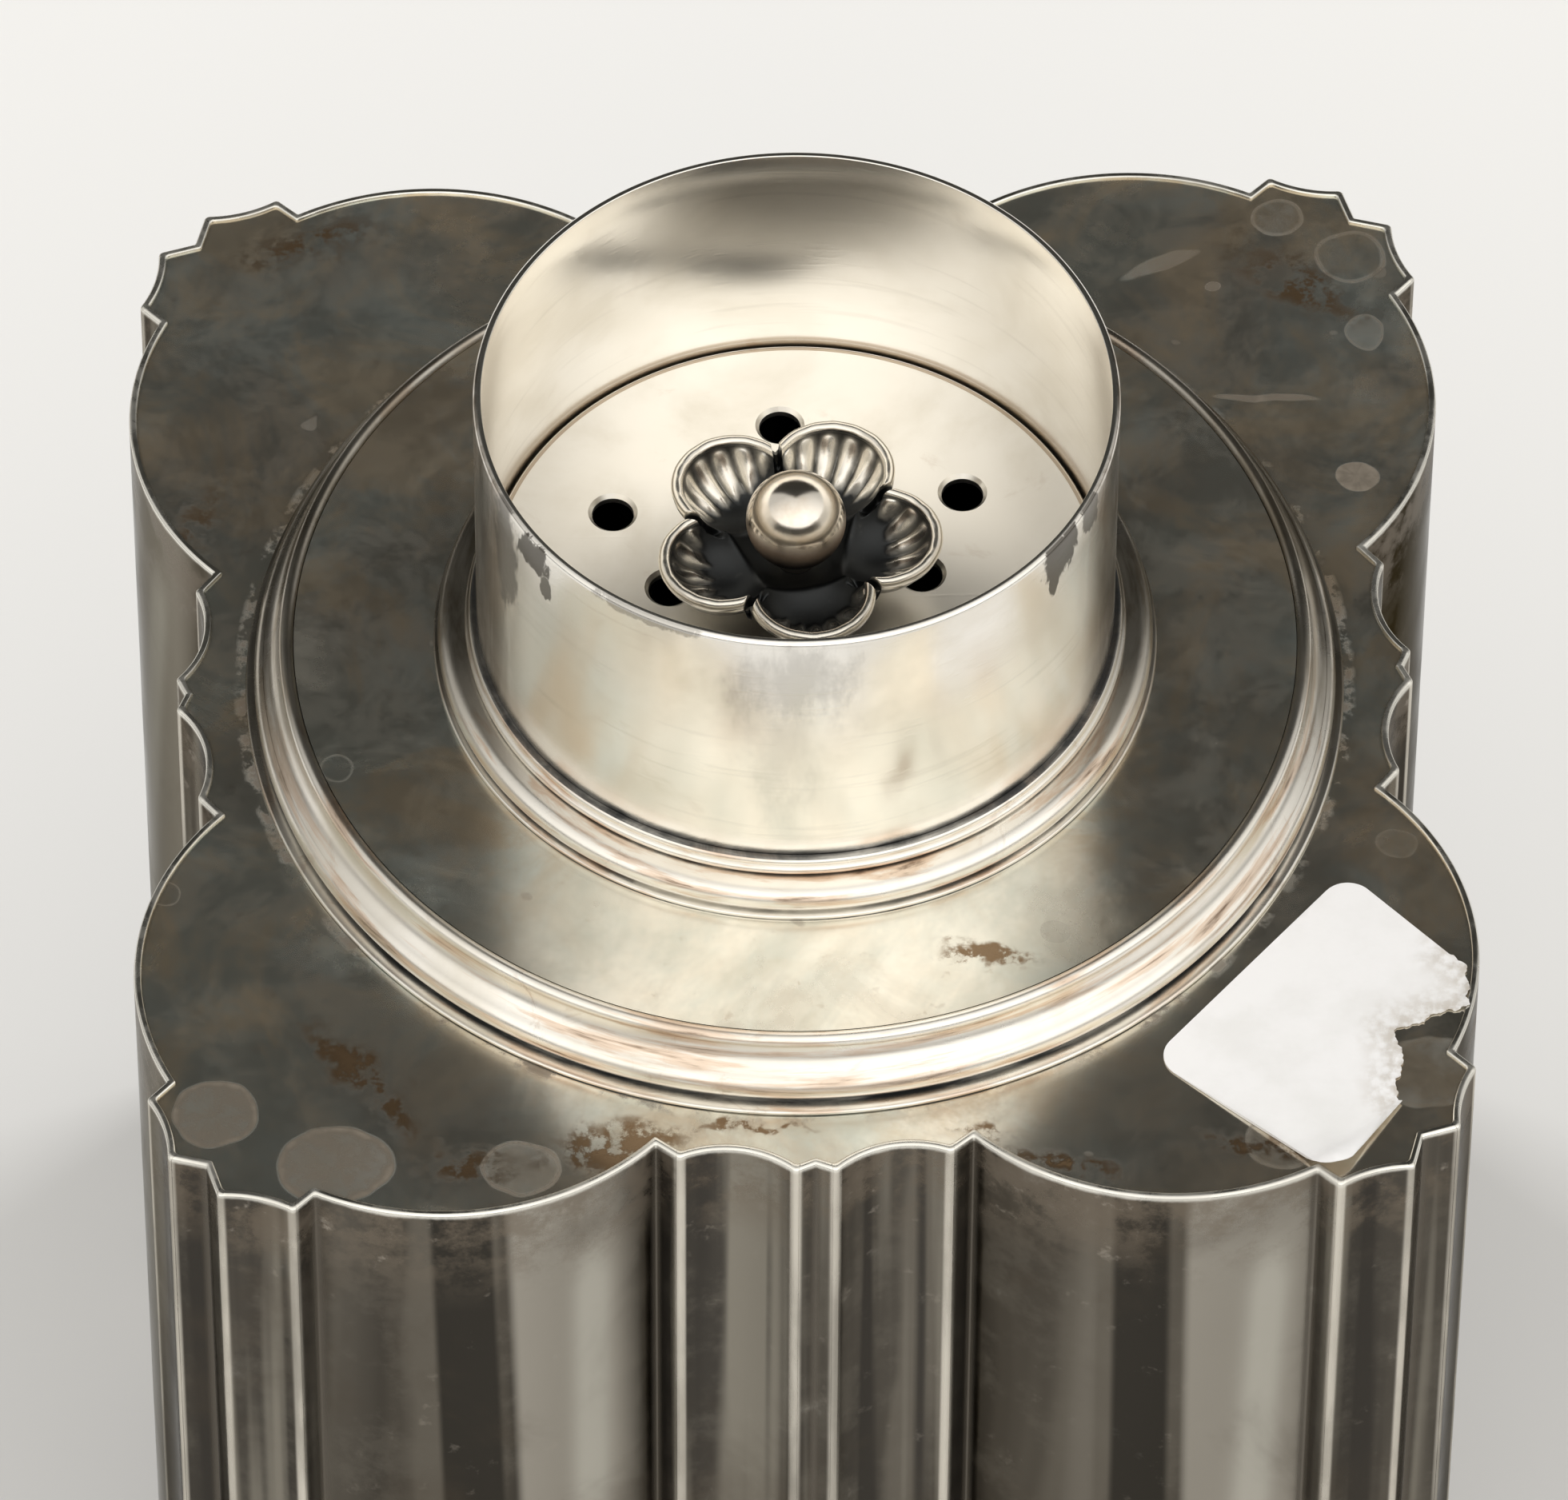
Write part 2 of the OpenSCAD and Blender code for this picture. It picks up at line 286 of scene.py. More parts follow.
def shelter_of(profile, walls, reach=5.0, rays=15):
    """How enclosed each profile point is among all the turned sections, from 0 (open) to 1.

    Rays fan out from each point and count as blocked where a wall is nearer than reach."""
    widest = 84
    starts = numpy.array([a for wall in walls for a in wall])
    ends = numpy.array([b for wall in walls for b in wall[1:] + wall[:1]])
    edges = ends - starts
    count = len(profile)
    area = sum(p[0] * q[1] - q[0] * p[1] for p, q in zip(profile[-1:] + profile[:-1], profile))
    side = 1.0 if area > 0 else -1.0
    values = []
    for i in range(count):
        before, here, after = (Vector(profile[(i + k) % count]) for k in (-1, 0, 1))
        way = ((here - before).normalized() + (after - here).normalized())
        normal = Vector((way.y, -way.x)).normalized() * side if way.length > 0.01 else Vector((1, 0))
        start = numpy.array(here + normal * 0.02)
        blocked, total = 0.0, 0.0
        for k in range(rays):
            lean = math.radians(-widest + 2 * widest * k / (rays - 1))
            ray = numpy.array(Matrix.Rotation(lean, 2) @ normal)
            weight = math.cos(lean)
            cross = ray[0] * edges[:, 1] - ray[1] * edges[:, 0]
            cross[numpy.abs(cross) < 1e-9] = 1e-9
            gap = starts - start
            along_ray = (gap[:, 0] * edges[:, 1] - gap[:, 1] * edges[:, 0]) / cross
            along_edge = (gap[:, 0] * ray[1] - gap[:, 1] * ray[0]) / cross
            hits = (along_ray > 0.01) & (along_ray < reach) & (along_edge >= 0) & (along_edge <= 1)
            blocked += weight * bool(hits.any())
            total += weight
        values.append(blocked / total)
    return values


def arc(centre, radius, start, end, steps):
    """Points on an arc from start to end, in degrees, both ends included."""
    return [(centre[0] + radius * math.cos(math.radians(start + (end - start) * i / steps)),
             centre[1] + radius * math.sin(math.radians(start + (end - start) * i / steps)))
            for i in range(steps + 1)]


def raised(points, lift):
    return [(r, z + lift) for r, z in points]


# ---------------------------------------------------------------- shader helpers
class Nodes:
    """Short names for building a node tree."""

    def __init__(self, tree):
        self.tree = tree

    def add(self, kind, **settings):
        node = self.tree.nodes.new(kind)
        for key, value in settings.items():
            setattr(node, key, value)
        return node

    def join(self, source, target):
        self.tree.links.new(source, target)

    def put(self, socket, value):
        """Sets a socket from a number, a colour or another node's output."""
        if isinstance(value, bpy.types.NodeSocket):
            self.join(value, socket)
        else:
            socket.default_value = value

    def math(self, operation, a, b=0.0):
        node = self.add("ShaderNodeMath", operation=operation)
        self.put(node.inputs[0], a)
        self.put(node.inputs[1], b)
        return node.outputs[0]

    def times(self, a, b):
        return self.math("MULTIPLY", a, b)

    def over(self, a, b):
        return self.math("DIVIDE", a, b)

    def plus(self, a, b):
        return self.math("ADD", a, b)

    def minus(self, a, b):
        return self.math("SUBTRACT", a, b)

    def larger(self, a, b):
        return self.math("MAXIMUM", a, b)

    def absolute(self, a):
        return self.math("ABSOLUTE", a)

    def length(self, a, b):
        """The length of the vector (a, b)."""
        return self.math("SQRT", self.plus(self.times(a, a), self.times(b, b)))

    def ramp(self, value, low, high, start=0.0, end=1.0, smooth=True):
        """start below low, end above high, and a soft step between."""
        node = self.add("ShaderNodeMapRange", interpolation_type="SMOOTHSTEP" if smooth else "LINEAR")
        self.put(node.inputs["Value"], value)
        self.put(node.inputs["From Min"], low)
        self.put(node.inputs["From Max"], high)
        self.put(node.inputs["To Min"], start)
        self.put(node.inputs["To Max"], end)
        return node.outputs[0]

    def mix(self, factor, a, b):
        node = self.add("ShaderNodeMix", data_type="RGBA")
        factor_socket, a_socket, b_socket = (node.inputs[i] for i in (0, 6, 7))
        self.put(factor_socket, factor)
        self.put(a_socket, a)
        self.put(b_socket, b)
        return node.outputs[2]

    def coated(self, base, *coats):
        """A base colour under coats, each given as (mask, colour) and laid over the ones before."""
        for mask, colour in coats:
            base = self.mix(mask, base, colour)
        return base

    def split(self, vector):
        """The three coordinates of a vector."""
        parts = self.add("ShaderNodeSeparateXYZ")
        self.join(vector, parts.inputs[0])
        return parts.outputs

    def vector(self, x=0.0, y=0.0, z=0.0):
        joined = self.add("ShaderNodeCombineXYZ")
        for socket, value in zip(joined.inputs, (x, y, z)):
            self.put(socket, value)
        return joined.outputs[0]

    def mapped(self, vector, location=(0, 0, 0), turn=(0, 0, 0), scale=(1, 1, 1), kind="POINT"):
        mapping = self.add("ShaderNodeMapping", vector_type=kind)
        self.join(vector, mapping.inputs["Vector"])
        mapping.inputs["Location"].default_value = location
        mapping.inputs["Rotation"].default_value = turn
        mapping.inputs["Scale"].default_value = scale
        return mapping.outputs[0]

    def place(self, **moves):
        """Object coordinates, moved, turned and scaled."""
        return self.mapped(self.add("ShaderNodeTexCoord").outputs["Object"], **moves)

    def noise(self, vector, scale, detail=4.0, roughness=0.55, distortion=0.0):
        node = self.add("ShaderNodeTexNoise")
        self.put(node.inputs["Vector"], vector)
        node.inputs["Scale"].default_value = scale
        node.inputs["Detail"].default_value = detail
        node.inputs["Roughness"].default_value = roughness
        node.inputs["Distortion"].default_value = distortion
        return node.outputs["Fac"]

    def waver(self, vector, scale, detail, reach, **noise_settings):
        """Noise centred on zero and multiplied by reach."""
        return self.times(self.minus(self.noise(vector, scale, detail, **noise_settings), 0.5), reach)

    def bump(self, height, strength, distance, normal=None):
        node = self.add("ShaderNodeBump")
        self.put(node.inputs["Height"], height)
        node.inputs["Strength"].default_value = strength
        node.inputs["Distance"].default_value = distance
        if normal is not None:
            self.join(normal, node.inputs["Normal"])
        return node.outputs[0]

    def attribute(self, name):
        return self.add("ShaderNodeAttribute", attribute_name=name).outputs["Fac"]


def metal(name):
    """A new material with a metallic shader; returns (material, nodes, shader)."""
    material = bpy.data.materials.new(name)
    material.use_nodes = True
    nodes = Nodes(material.node_tree)
    shader = next(n for n in material.node_tree.nodes if n.type == "BSDF_PRINCIPLED")
    shader.inputs["Metallic"].default_value = 1.0
    return material, nodes, shader


def rgb(red, green, blue):
    return (red, green, blue, 1.0)


def output_group(name, **outputs):
    """A shared node group that takes object coordinates and gives the named values."""
    group = bpy.data.node_groups.new(name, "ShaderNodeTree")
    group.interface.new_socket("Vector", in_out="INPUT", socket_type="NodeSocketVector")
    for label, kind in outputs.items():
        group.interface.new_socket(label, in_out="OUTPUT", socket_type="NodeSocket" + kind)
    nodes = Nodes(group)
    return group, nodes, nodes.add("NodeGroupInput").outputs[0], nodes.add("NodeGroupOutput")


def grouped(nodes, group, vector):
    """Adds a shared group to a material and returns its outputs."""
    node = nodes.add("ShaderNodeGroup")
    node.node_tree = group
    nodes.join(vector, node.inputs[0])
    return node.outputs


# ---------------------------------------------------------------- marks shared by the metals
# Each spot: centre x, y, radius along x, radius along y, hollowness, strength
SPOTS = [
    (-46.2, -41.5, 3.4, 3.2, 0.30, 0.85),
    (-37.0, -46.9, 4.6, 3.8, 0.30, 0.85),
    (-22.6, -47.6, 3.0, 2.6, 0.60, 0.65),
    (-49.8, -19.9, 1.2, 1.2, 0.80, 0.45),
    (-36.1, -12.3, 1.4, 1.4, 0.85, 0.40),
    (45.7, 19.7, 1.9, 1.6, 0.10, 0.95),
    (47.1, 35.0, 1.6, 1.8, 0.50, 0.55),
    (40.8, 47.1, 2.1, 2.0, 0.70, 0.55),
    (46.4, 42.9, 2.9, 2.9, 0.90, 0.55),
    (35.3, 40.2, 0.7, 0.6, 0.20, 0.60),
    (46.4, -17.8, 1.8, 1.6, 0.40, 0.35),
    (19.1, -30.3, 1.3, 1.0, 0.10, 0.25),
    (36.0, -46.9, 2.9, 2.6, 0.60, 0.40),
    (48.1, -40.4, 4.6, 3.6, 0.30, 0.30),
]
# Each smear: centre x, y, half length, half width, turn in degrees, strength
SMEARS = [
    (38.6, 28.0, 4.4, 0.40, -5.0, 0.70),
    (31.1, 42.4, 3.6, 0.80, 25.0, 0.45),
]
# Each brown stain, in the same order
STAINS = [
    (-34.5, -38.5, 9.5, 1.8, -54.0, 0.55),
    (-27.5, -47.3, 4.6, 2.0, 0.0, 0.50),
    (-15.5, -46.0, 6.4, 2.3, 8.0, 0.70),
    (-5.0, -44.4, 4.4, 0.45, 0.0, 0.60),
    (13.0, -45.4, 3.2, 0.60, -15.0, 0.50),
    (19.6, -48.4, 4.0, 1.3, -18.0, 0.75),
    (13.8, -32.2, 3.8, 1.1, -5.0, 0.75),
    (33.5, -47.0, 5.0, 1.4, -12.0, 0.60),
    (-47.0, 18.0, 5.0, 2.0, 60.0, 0.40),
    (-38.0, 47.0, 7.0, 2.4, 15.0, 0.45),
    (42.0, 40.0, 8.0, 3.0, -40.0, 0.45),
]
# Each dark patch on the neck: bearing from the front, depth under the rim, half sizes of both, strength,
# softness
NECK_MARKS = [
    (52.5, 1.6, 5.2, 2.8, 1.0, 0.15),
    (50.2, 4.2, 1.6, 1.7, 1.0, 0.15),
    (63.0, 1.0, 3.6, 2.2, 0.9, 0.15),
    (-56.0, 1.9, 5.0, 2.0, 1.0, 0.15),
    (-52.2, 4.2, 1.6, 1.4, 0.9, 0.15),
    (-66.0, 5.0, 5.0, 7.5, 0.8, 0.3),
    # The next two, broad grey patches down the front, are painted reflection: a darker upright column between
    # the neck's highlights
    (-3.0, 5.0, 13.0, 5.0, 0.33, 0.75),
    (-4.0, 13.0, 7.0, 9.0, 0.16, 0.9),
    (-30.0, 0.3, 12.0, 0.7, 0.5, 0.3),
]


def oval(n, vector, x, y, wide, deep, turn=0.0):
    """Place in an oval mark on the shoulder, as (place as a vector, distance: 1 on its edge)."""
    local = n.mapped(vector, (x * MM, y * MM, 0), (0, 0, math.radians(turn)), (wide * MM, deep * MM, 1000.0),
                     kind="TEXTURE")
    far = n.add("ShaderNodeVectorMath", operation="LENGTH")
    n.join(local, far.inputs[0])
    return local, far.outputs["Value"]


def wobbled(n, where, scale, detail, reach):
    """Coordinates pushed about by noise, up to half of reach millimetres either way."""
    wobble = n.add("ShaderNodeTexNoise")
    wobble.inputs["Scale"].default_value = scale
    wobble.inputs["Detail"].default_value = detail
    n.join(where, wobble.inputs["Vector"])
    moved = n.add("ShaderNodeVectorMath", operation="MULTIPLY_ADD")
    n.join(wobble.outputs["Color"], moved.inputs[0])
    moved.inputs[1].default_value = (reach * MM, reach * MM, 0)
    n.join(where, moved.inputs[2])
    centred = n.add("ShaderNodeVectorMath", operation="SUBTRACT")
    n.join(moved.outputs[0], centred.inputs[0])
    centred.inputs[1].default_value = (reach * MM / 2, reach * MM / 2, 0)
    return centred.outputs[0]


def dried_spots():
    """Masks of pale dried spots and smears, and of brown stains, on the shoulder."""
    group, n, where, leave = output_group("dried_spots", Spots="Float", Stains="Float")
    moved = wobbled(n, where, scale=170.0, detail=2.0, reach=1.6)
    total = 0.0
    for x, y, wide, deep, hollow, strength in SPOTS:
        local, far = oval(n, moved, x, y, wide, deep)
        direction = n.add("ShaderNodeVectorMath", operation="NORMALIZE")
        n.join(local, direction.inputs[0])
        veins = n.ramp(n.noise(direction.outputs[0], 2.6, 2.0), 0.35, 0.6, 0.86, 1.0)
        inside = n.ramp(far, 0.94, 1.04, 1.0, 0.0)
        rim = n.ramp(far, 0.78, 0.97, 1.0 - hollow, 1.0)
        total = n.larger(total, n.times(n.times(inside, rim), n.times(veins, strength)))
    for x, y, wide, deep, turn, strength in SMEARS:
        _, far = oval(n, moved, x, y, wide, deep, turn)
        total = n.larger(total, n.ramp(far, 0.7, 1.15, strength, 0.0))
    grain = n.ramp(n.noise(where, 700.0, 4.0), 0.35, 0.6, 0.8, 1.0)
    n.join(n.times(total, grain), leave.inputs["Spots"])
    ragged = wobbled(n, where, scale=330.0, detail=6.0, reach=5.5)
    stained = 0.0
    for x, y, wide, deep, turn, strength in STAINS:
        _, far = oval(n, ragged, x, y, wide, deep, turn)
        stained = n.larger(stained, n.ramp(far, 0.0, 1.5, strength, 0.0))
    broken = n.ramp(n.noise(where, 480.0, 6.0, 0.7), 0.42, 0.56, 0.2, 1.0)
    n.join(n.times(stained, broken), leave.inputs["Stains"])
    return group


def turned_coordinates():
    """Coordinates in which noise is drawn out along the turning direction, and places on a turned piece.

    Radius and Height are in metres, and Bearing is in degrees from the front."""
    group, n, where, leave = output_group("turned_coordinates", Streaks="Vector", Radius="Float",
                                          Height="Float", Bearing="Float")
    x, y, z = n.split(where)
    radius = n.length(x, y)
    across = n.times(n.minus(z, n.times(radius, 0.7)), 320.0)
    n.join(n.vector(n.over(x, radius), n.over(y, radius), across), leave.inputs["Streaks"])
    n.join(radius, leave.inputs["Radius"])
    n.join(z, leave.inputs["Height"])
    bearing = n.math("ARCTAN2", x, n.times(y, -1.0))
    n.join(n.times(bearing, math.degrees(1.0)), leave.inputs["Bearing"])
    return group


def fine_scratches():
    """Height of hair-fine scratches in three directions."""
    group, n, where, leave = output_group("fine_scratches", Height="Float")
    total = 0.0
    for degrees, thin in ((20.0, 1400.0), (75.0, 1900.0), (140.0, 1600.0)):
        stretched = n.mapped(where, turn=(0.2, 0.1, math.radians(degrees)), scale=(40.0, thin, thin))
        total = n.larger(total, n.ramp(n.noise(stretched, 1.0, 1.0), 0.66, 0.74))
    n.join(total, leave.inputs["Height"])
    return group


SPOT_MASK = dried_spots()
TURNED = turned_coordinates()
SCRATCHES = fine_scratches()


# ---------------------------------------------------------------- materials
def shoulder_metal(name):
    """Silver mirror under thin grey-green tarnish, with brown clouds, crust, dried spots and stains."""
    silver, tarnish, sandy = rgb(0.90, 0.86, 0.76), rgb(0.62, 0.63, 0.56), rgb(0.66, 0.56, 0.43)
    brown, sea_green, tan = rgb(0.46, 0.34, 0.22), rgb(0.54, 0.62, 0.60), rgb(0.58, 0.45, 0.29)
    dot_grey, stain_brown, rust = rgb(0.34, 0.29, 0.235), rgb(0.225, 0.15, 0.085), rgb(0.40, 0.31, 0.23)
    black_crust, dried_grey = rgb(0.13, 0.095, 0.07), rgb(0.25, 0.215, 0.172)
    material, n, shader = metal(name)
    where = n.place()
    _, radius, _, bearing = grouped(n, TURNED, where)
    spots, stains = grouped(n, SPOT_MASK, where)
    stains = n.times(stains, 1.25)
    clouds = n.noise(where, 34.0, 6.0, 0.62, 0.5)
    mottle = n.noise(where, 150.0, 7.0, 0.7, 0.4)
    specks = n.ramp(n.noise(where, 520.0, 4.0, 0.65), 0.62, 0.74)
    dots = n.times(n.ramp(n.noise(where, 300.0, 1.0), 0.74, 0.78), 0.5)
    browned = n.ramp(n.noise(n.place(location=(0.3, 0.1, 0.0)), 48.0, 7.0, 0.68, 0.9), 0.50, 0.70)
    # The plate outside the moulding is more tarnished than the ring inside it; the ring's front is kept
    # cleanest as a painted reflection of the bright light in front
    on_plate = n.ramp(radius, (MOULD_IN + 0.2) * MM, (MOULD_IN + 1.0) * MM, 0.3, 1.0)
    away = n.larger(n.ramp(n.absolute(bearing), 28.0, 52.0), n.times(on_plate, 0.6))
    greens = n.noise(n.place(location=(0.1, 0.9, 0.0)), 60.0, 6.0, 0.66, 0.5)
    green = n.times(away, n.ramp(greens, 0.46, 0.62))
    tans = n.noise(n.place(location=(0.7, 0.2, 0.0)), 85.0, 7.0, 0.7, 0.6)
    patina = n.times(away, n.ramp(tans, 0.42, 0.62))
    # A broken crust lies against the moulding's foot
    near_foot = n.ramp(n.absolute(n.minus(radius, (FOOT_R + 0.3) * MM)), 0.1 * MM, 0.9 * MM, 1.0, 0.0)
    crust = n.times(near_foot, n.ramp(n.noise(where, 210.0, 5.0, 0.7), 0.47, 0.58))
    crust = n.times(crust, n.ramp(n.noise(where, 18.0, 1.0), 0.45, 0.55, 0.25, 1.0))
    spots = n.times(spots, n.ramp(mottle, 0.38, 0.62, 0.82, 1.0))
    colour = n.coated(
        n.mix(n.ramp(clouds, 0.38, 0.64), silver, tarnish),
        (n.times(n.ramp(mottle, 0.44, 0.64), n.times(on_plate, 0.45)), sandy),
        (n.times(browned, n.times(on_plate, 0.6)), brown),
        (n.times(green, 0.5), sea_green),
        (n.times(patina, 0.7), tan),
        (dots, dot_grey),
        (n.ramp(stains, 0.0, 0.55), stain_brown),
        (n.times(specks, 0.30), rust),
        (n.times(crust, 0.8), black_crust),
        (n.ramp(spots, 0.0, 0.6), dried_grey),
    )
    n.join(colour, shader.inputs["Base Color"])
    haze = n.plus(n.ramp(clouds, 0.35, 0.65, 0.0, 0.025), n.times(browned, 0.04))
    haze = n.plus(haze, n.times(away, n.ramp(mottle, 0.42, 0.62, 0.0, 0.045)))
    haze = n.plus(haze, n.plus(n.times(patina, 0.05), n.times(green, 0.02)))
    dull = n.larger(n.times(spots, 0.85), n.times(crust, 0.6))
    dull = n.larger(n.larger(dull, haze), n.times(n.larger(stains, dots), 0.36))
    n.join(n.ramp(dull, 0.0, 1.0, 0.99, 0.0, smooth=False), shader.inputs["Metallic"])
    rough = n.plus(n.ramp(clouds, 0.3, 0.75, 0.15, 0.27), n.times(browned, 0.12))
    n.join(n.larger(rough, n.times(dull, 0.7)), shader.inputs["Roughness"])
    n.join(n.bump(n.noise(where, 24.0, 1.5), 0.09, 2 * MM), shader.inputs["Normal"])
    return material


def bright_metal(name, tint=(0.96, 0.925, 0.855), rough=(0.09, 0.2), browning=0.3, streaks=0.0, wavy=0.1,
                 marks=()):
    """Cream-white worn silver: beige clouds, brown flecks, painted shade with grime in sheltered creases.

    streaks draws the browning out along the turning direction, as on mouldings, and darkens the sides away
    from the front with painted shade and brown streaks. marks are dark patches, some of them painted
    reflection."""
    fleck_brown, pink_brown, dark_brown = rgb(0.40, 0.25, 0.14), rgb(0.70, 0.50, 0.35), rgb(0.25, 0.18, 0.13)
    flank_shade_brown, shade_grime_black = rgb(0.27, 0.235, 0.18), rgb(0.085, 0.088, 0.09)
    line_grey, side_shade_brown, patch_grey = rgb(0.60, 0.56, 0.50), rgb(0.36, 0.31, 0.25), rgb(0.16, 0.148, 0.13)
    material, n, shader = metal(name)
    where = n.place()
    turned, _, _, bearing = grouped(n, TURNED, where)
    clouds = n.noise(where, 50.0, 6.0, 0.62, 0.6)
    flecks = n.noise(where, 170.0, 6.0, 0.7, 1.0)
    drawn = n.noise(turned, 2.6, 6.0, 0.62, 0.3)
    shade = tuple(c * k for c, k in zip(tint, (0.90, 0.885, 0.85)))
    away = n.absolute(bearing)
    # Painted shade with brown streaks on the sides away from the front
    flanks = n.times(n.ramp(away, 60.0, 92.0), n.ramp(drawn, 0.35, 0.6, 0.6, 0.95))
    flanks = n.times(flanks, n.ramp(away, 110.0, 140.0, 1.0, 0.5))
    colour = n.coated(
        n.mix(n.ramp(clouds, 0.42, 0.70), rgb(*tint), rgb(*shade)),
        (n.times(n.ramp(flecks, 0.58, 0.72), browning), fleck_brown),
        (n.times(n.times(n.ramp(drawn, 0.50, 0.62), streaks), 0.65), pink_brown),
        (n.times(n.ramp(drawn, 0.61, 0.73), streaks), dark_brown),
        (n.times(flanks, streaks), flank_shade_brown),
    )
    if marks:
        patches, sides = neck_tarnish(n, where, marks)
        lines = n.noise(n.place(scale=(1, 1, 22)), 60.0, 3.0, 0.6, 0.3)
        colour = n.coated(colour, (n.times(n.ramp(lines, 0.56, 0.70), 0.16), line_grey), (sides, side_shade_brown),
                          (patches, patch_grey))
    # Painted shade with grime: darker where the section is sheltered, as shade in the creases
    grime = n.ramp(n.plus(n.attribute("shelter"), n.times(flecks, 0.3)), 0.70, 0.95)
    grime = n.times(grime, n.ramp(drawn, 0.36, 0.56, 0.55, 1.0))
    n.join(n.mix(grime, colour, shade_grime_black), shader.inputs["Base Color"])
    n.join(n.plus(n.ramp(clouds, 0.3, 0.75, *rough), n.times(grime, 0.15)), shader.inputs["Roughness"])
    scratches = n.bump(grouped(n, SCRATCHES, where)[0], 0.06, 0.03 * MM)
    n.join(n.bump(n.noise(where, 24.0, 1.5), wavy, 2 * MM, scratches), shader.inputs["Normal"])
    return material


def neck_tarnish(n, where, marks):
    """Masks of the ragged dark patches below the rim, and of brown streaks with painted shade on the neck's
    flanks.
    """
    _, radius, height, bearing = grouped(n, TURNED, where)
    depth = n.minus(RIM, n.over(height, MM))
    outside = n.ramp(radius, (NECK_R - 0.4) * MM, (NECK_R - 0.2) * MM)
    rags = n.waver(n.place(scale=(1, 1, 0.4)), 520.0, 6.0, 2.6, roughness=0.7)
    patches = 0.0
    for middle, deep, wide, tall, strength, soft in marks:
        far = n.length(n.over(n.minus(bearing, middle), wide), n.over(n.minus(depth, deep), tall))
        edge = n.ramp(n.plus(far, rags), 1.0 - soft, 1.0 + soft / 3, strength, 0.0)
        patches = n.larger(patches, edge)
    streaks = n.ramp(n.noise(n.place(scale=(1, 1, 0.12)), 300.0, 4.0, 0.6, 0.6), 0.40, 0.60, 0.5, 1.0)
    away = n.absolute(bearing)
    # Painted shade with brown streaks on the neck's flanks, away from the front
    flanks = n.times(n.ramp(away, 56.0, 72.0), n.ramp(away, 90.0, 120.0, 1.0, 0.15))
    return n.times(patches, outside), n.times(n.times(flanks, streaks), outside)


def ball_metal(name):
    """Polished cream silver, browned below its widest line by tarnish and painted shade, and painted black
    for the shade in the bowl.
    """
    cream_white, warm_cream = rgb(0.93, 0.87, 0.78), rgb(0.84, 0.74, 0.62)
    brown, painted_dark = rgb(0.34, 0.24, 0.165), rgb(0.045, 0.04, 0.036)
    material, n, shader = metal(name)
    where = n.place()
    patches = n.noise(where, 420.0, 4.0, 0.6)
    height = n.plus(n.split(where)[2], n.times(n.minus(patches, 0.5), 1.2 * MM))
    middle = (LID_TOP + BALL_Z) * MM
    # Tarnish with painted shade below the widest line, and painted black shade lower down in the bowl
    browned = n.ramp(height, middle - 0.3 * MM, middle + 1.6 * MM, 1.0, 0.0)
    bowl_shade = n.ramp(height, middle - 1.8 * MM, middle + 0.2 * MM, 1.0, 0.0)
    clean = n.mix(n.ramp(patches, 0.35, 0.7), cream_white, warm_cream)
    n.join(n.coated(clean, (n.times(browned, 0.85), brown), (bowl_shade, painted_dark)), shader.inputs["Base Color"])
    n.join(n.ramp(browned, 0.0, 1.0, 0.16, 0.65), shader.inputs["Roughness"])
    n.join(n.bump(patches, 0.1, 0.2 * MM), shader.inputs["Normal"])
    return material


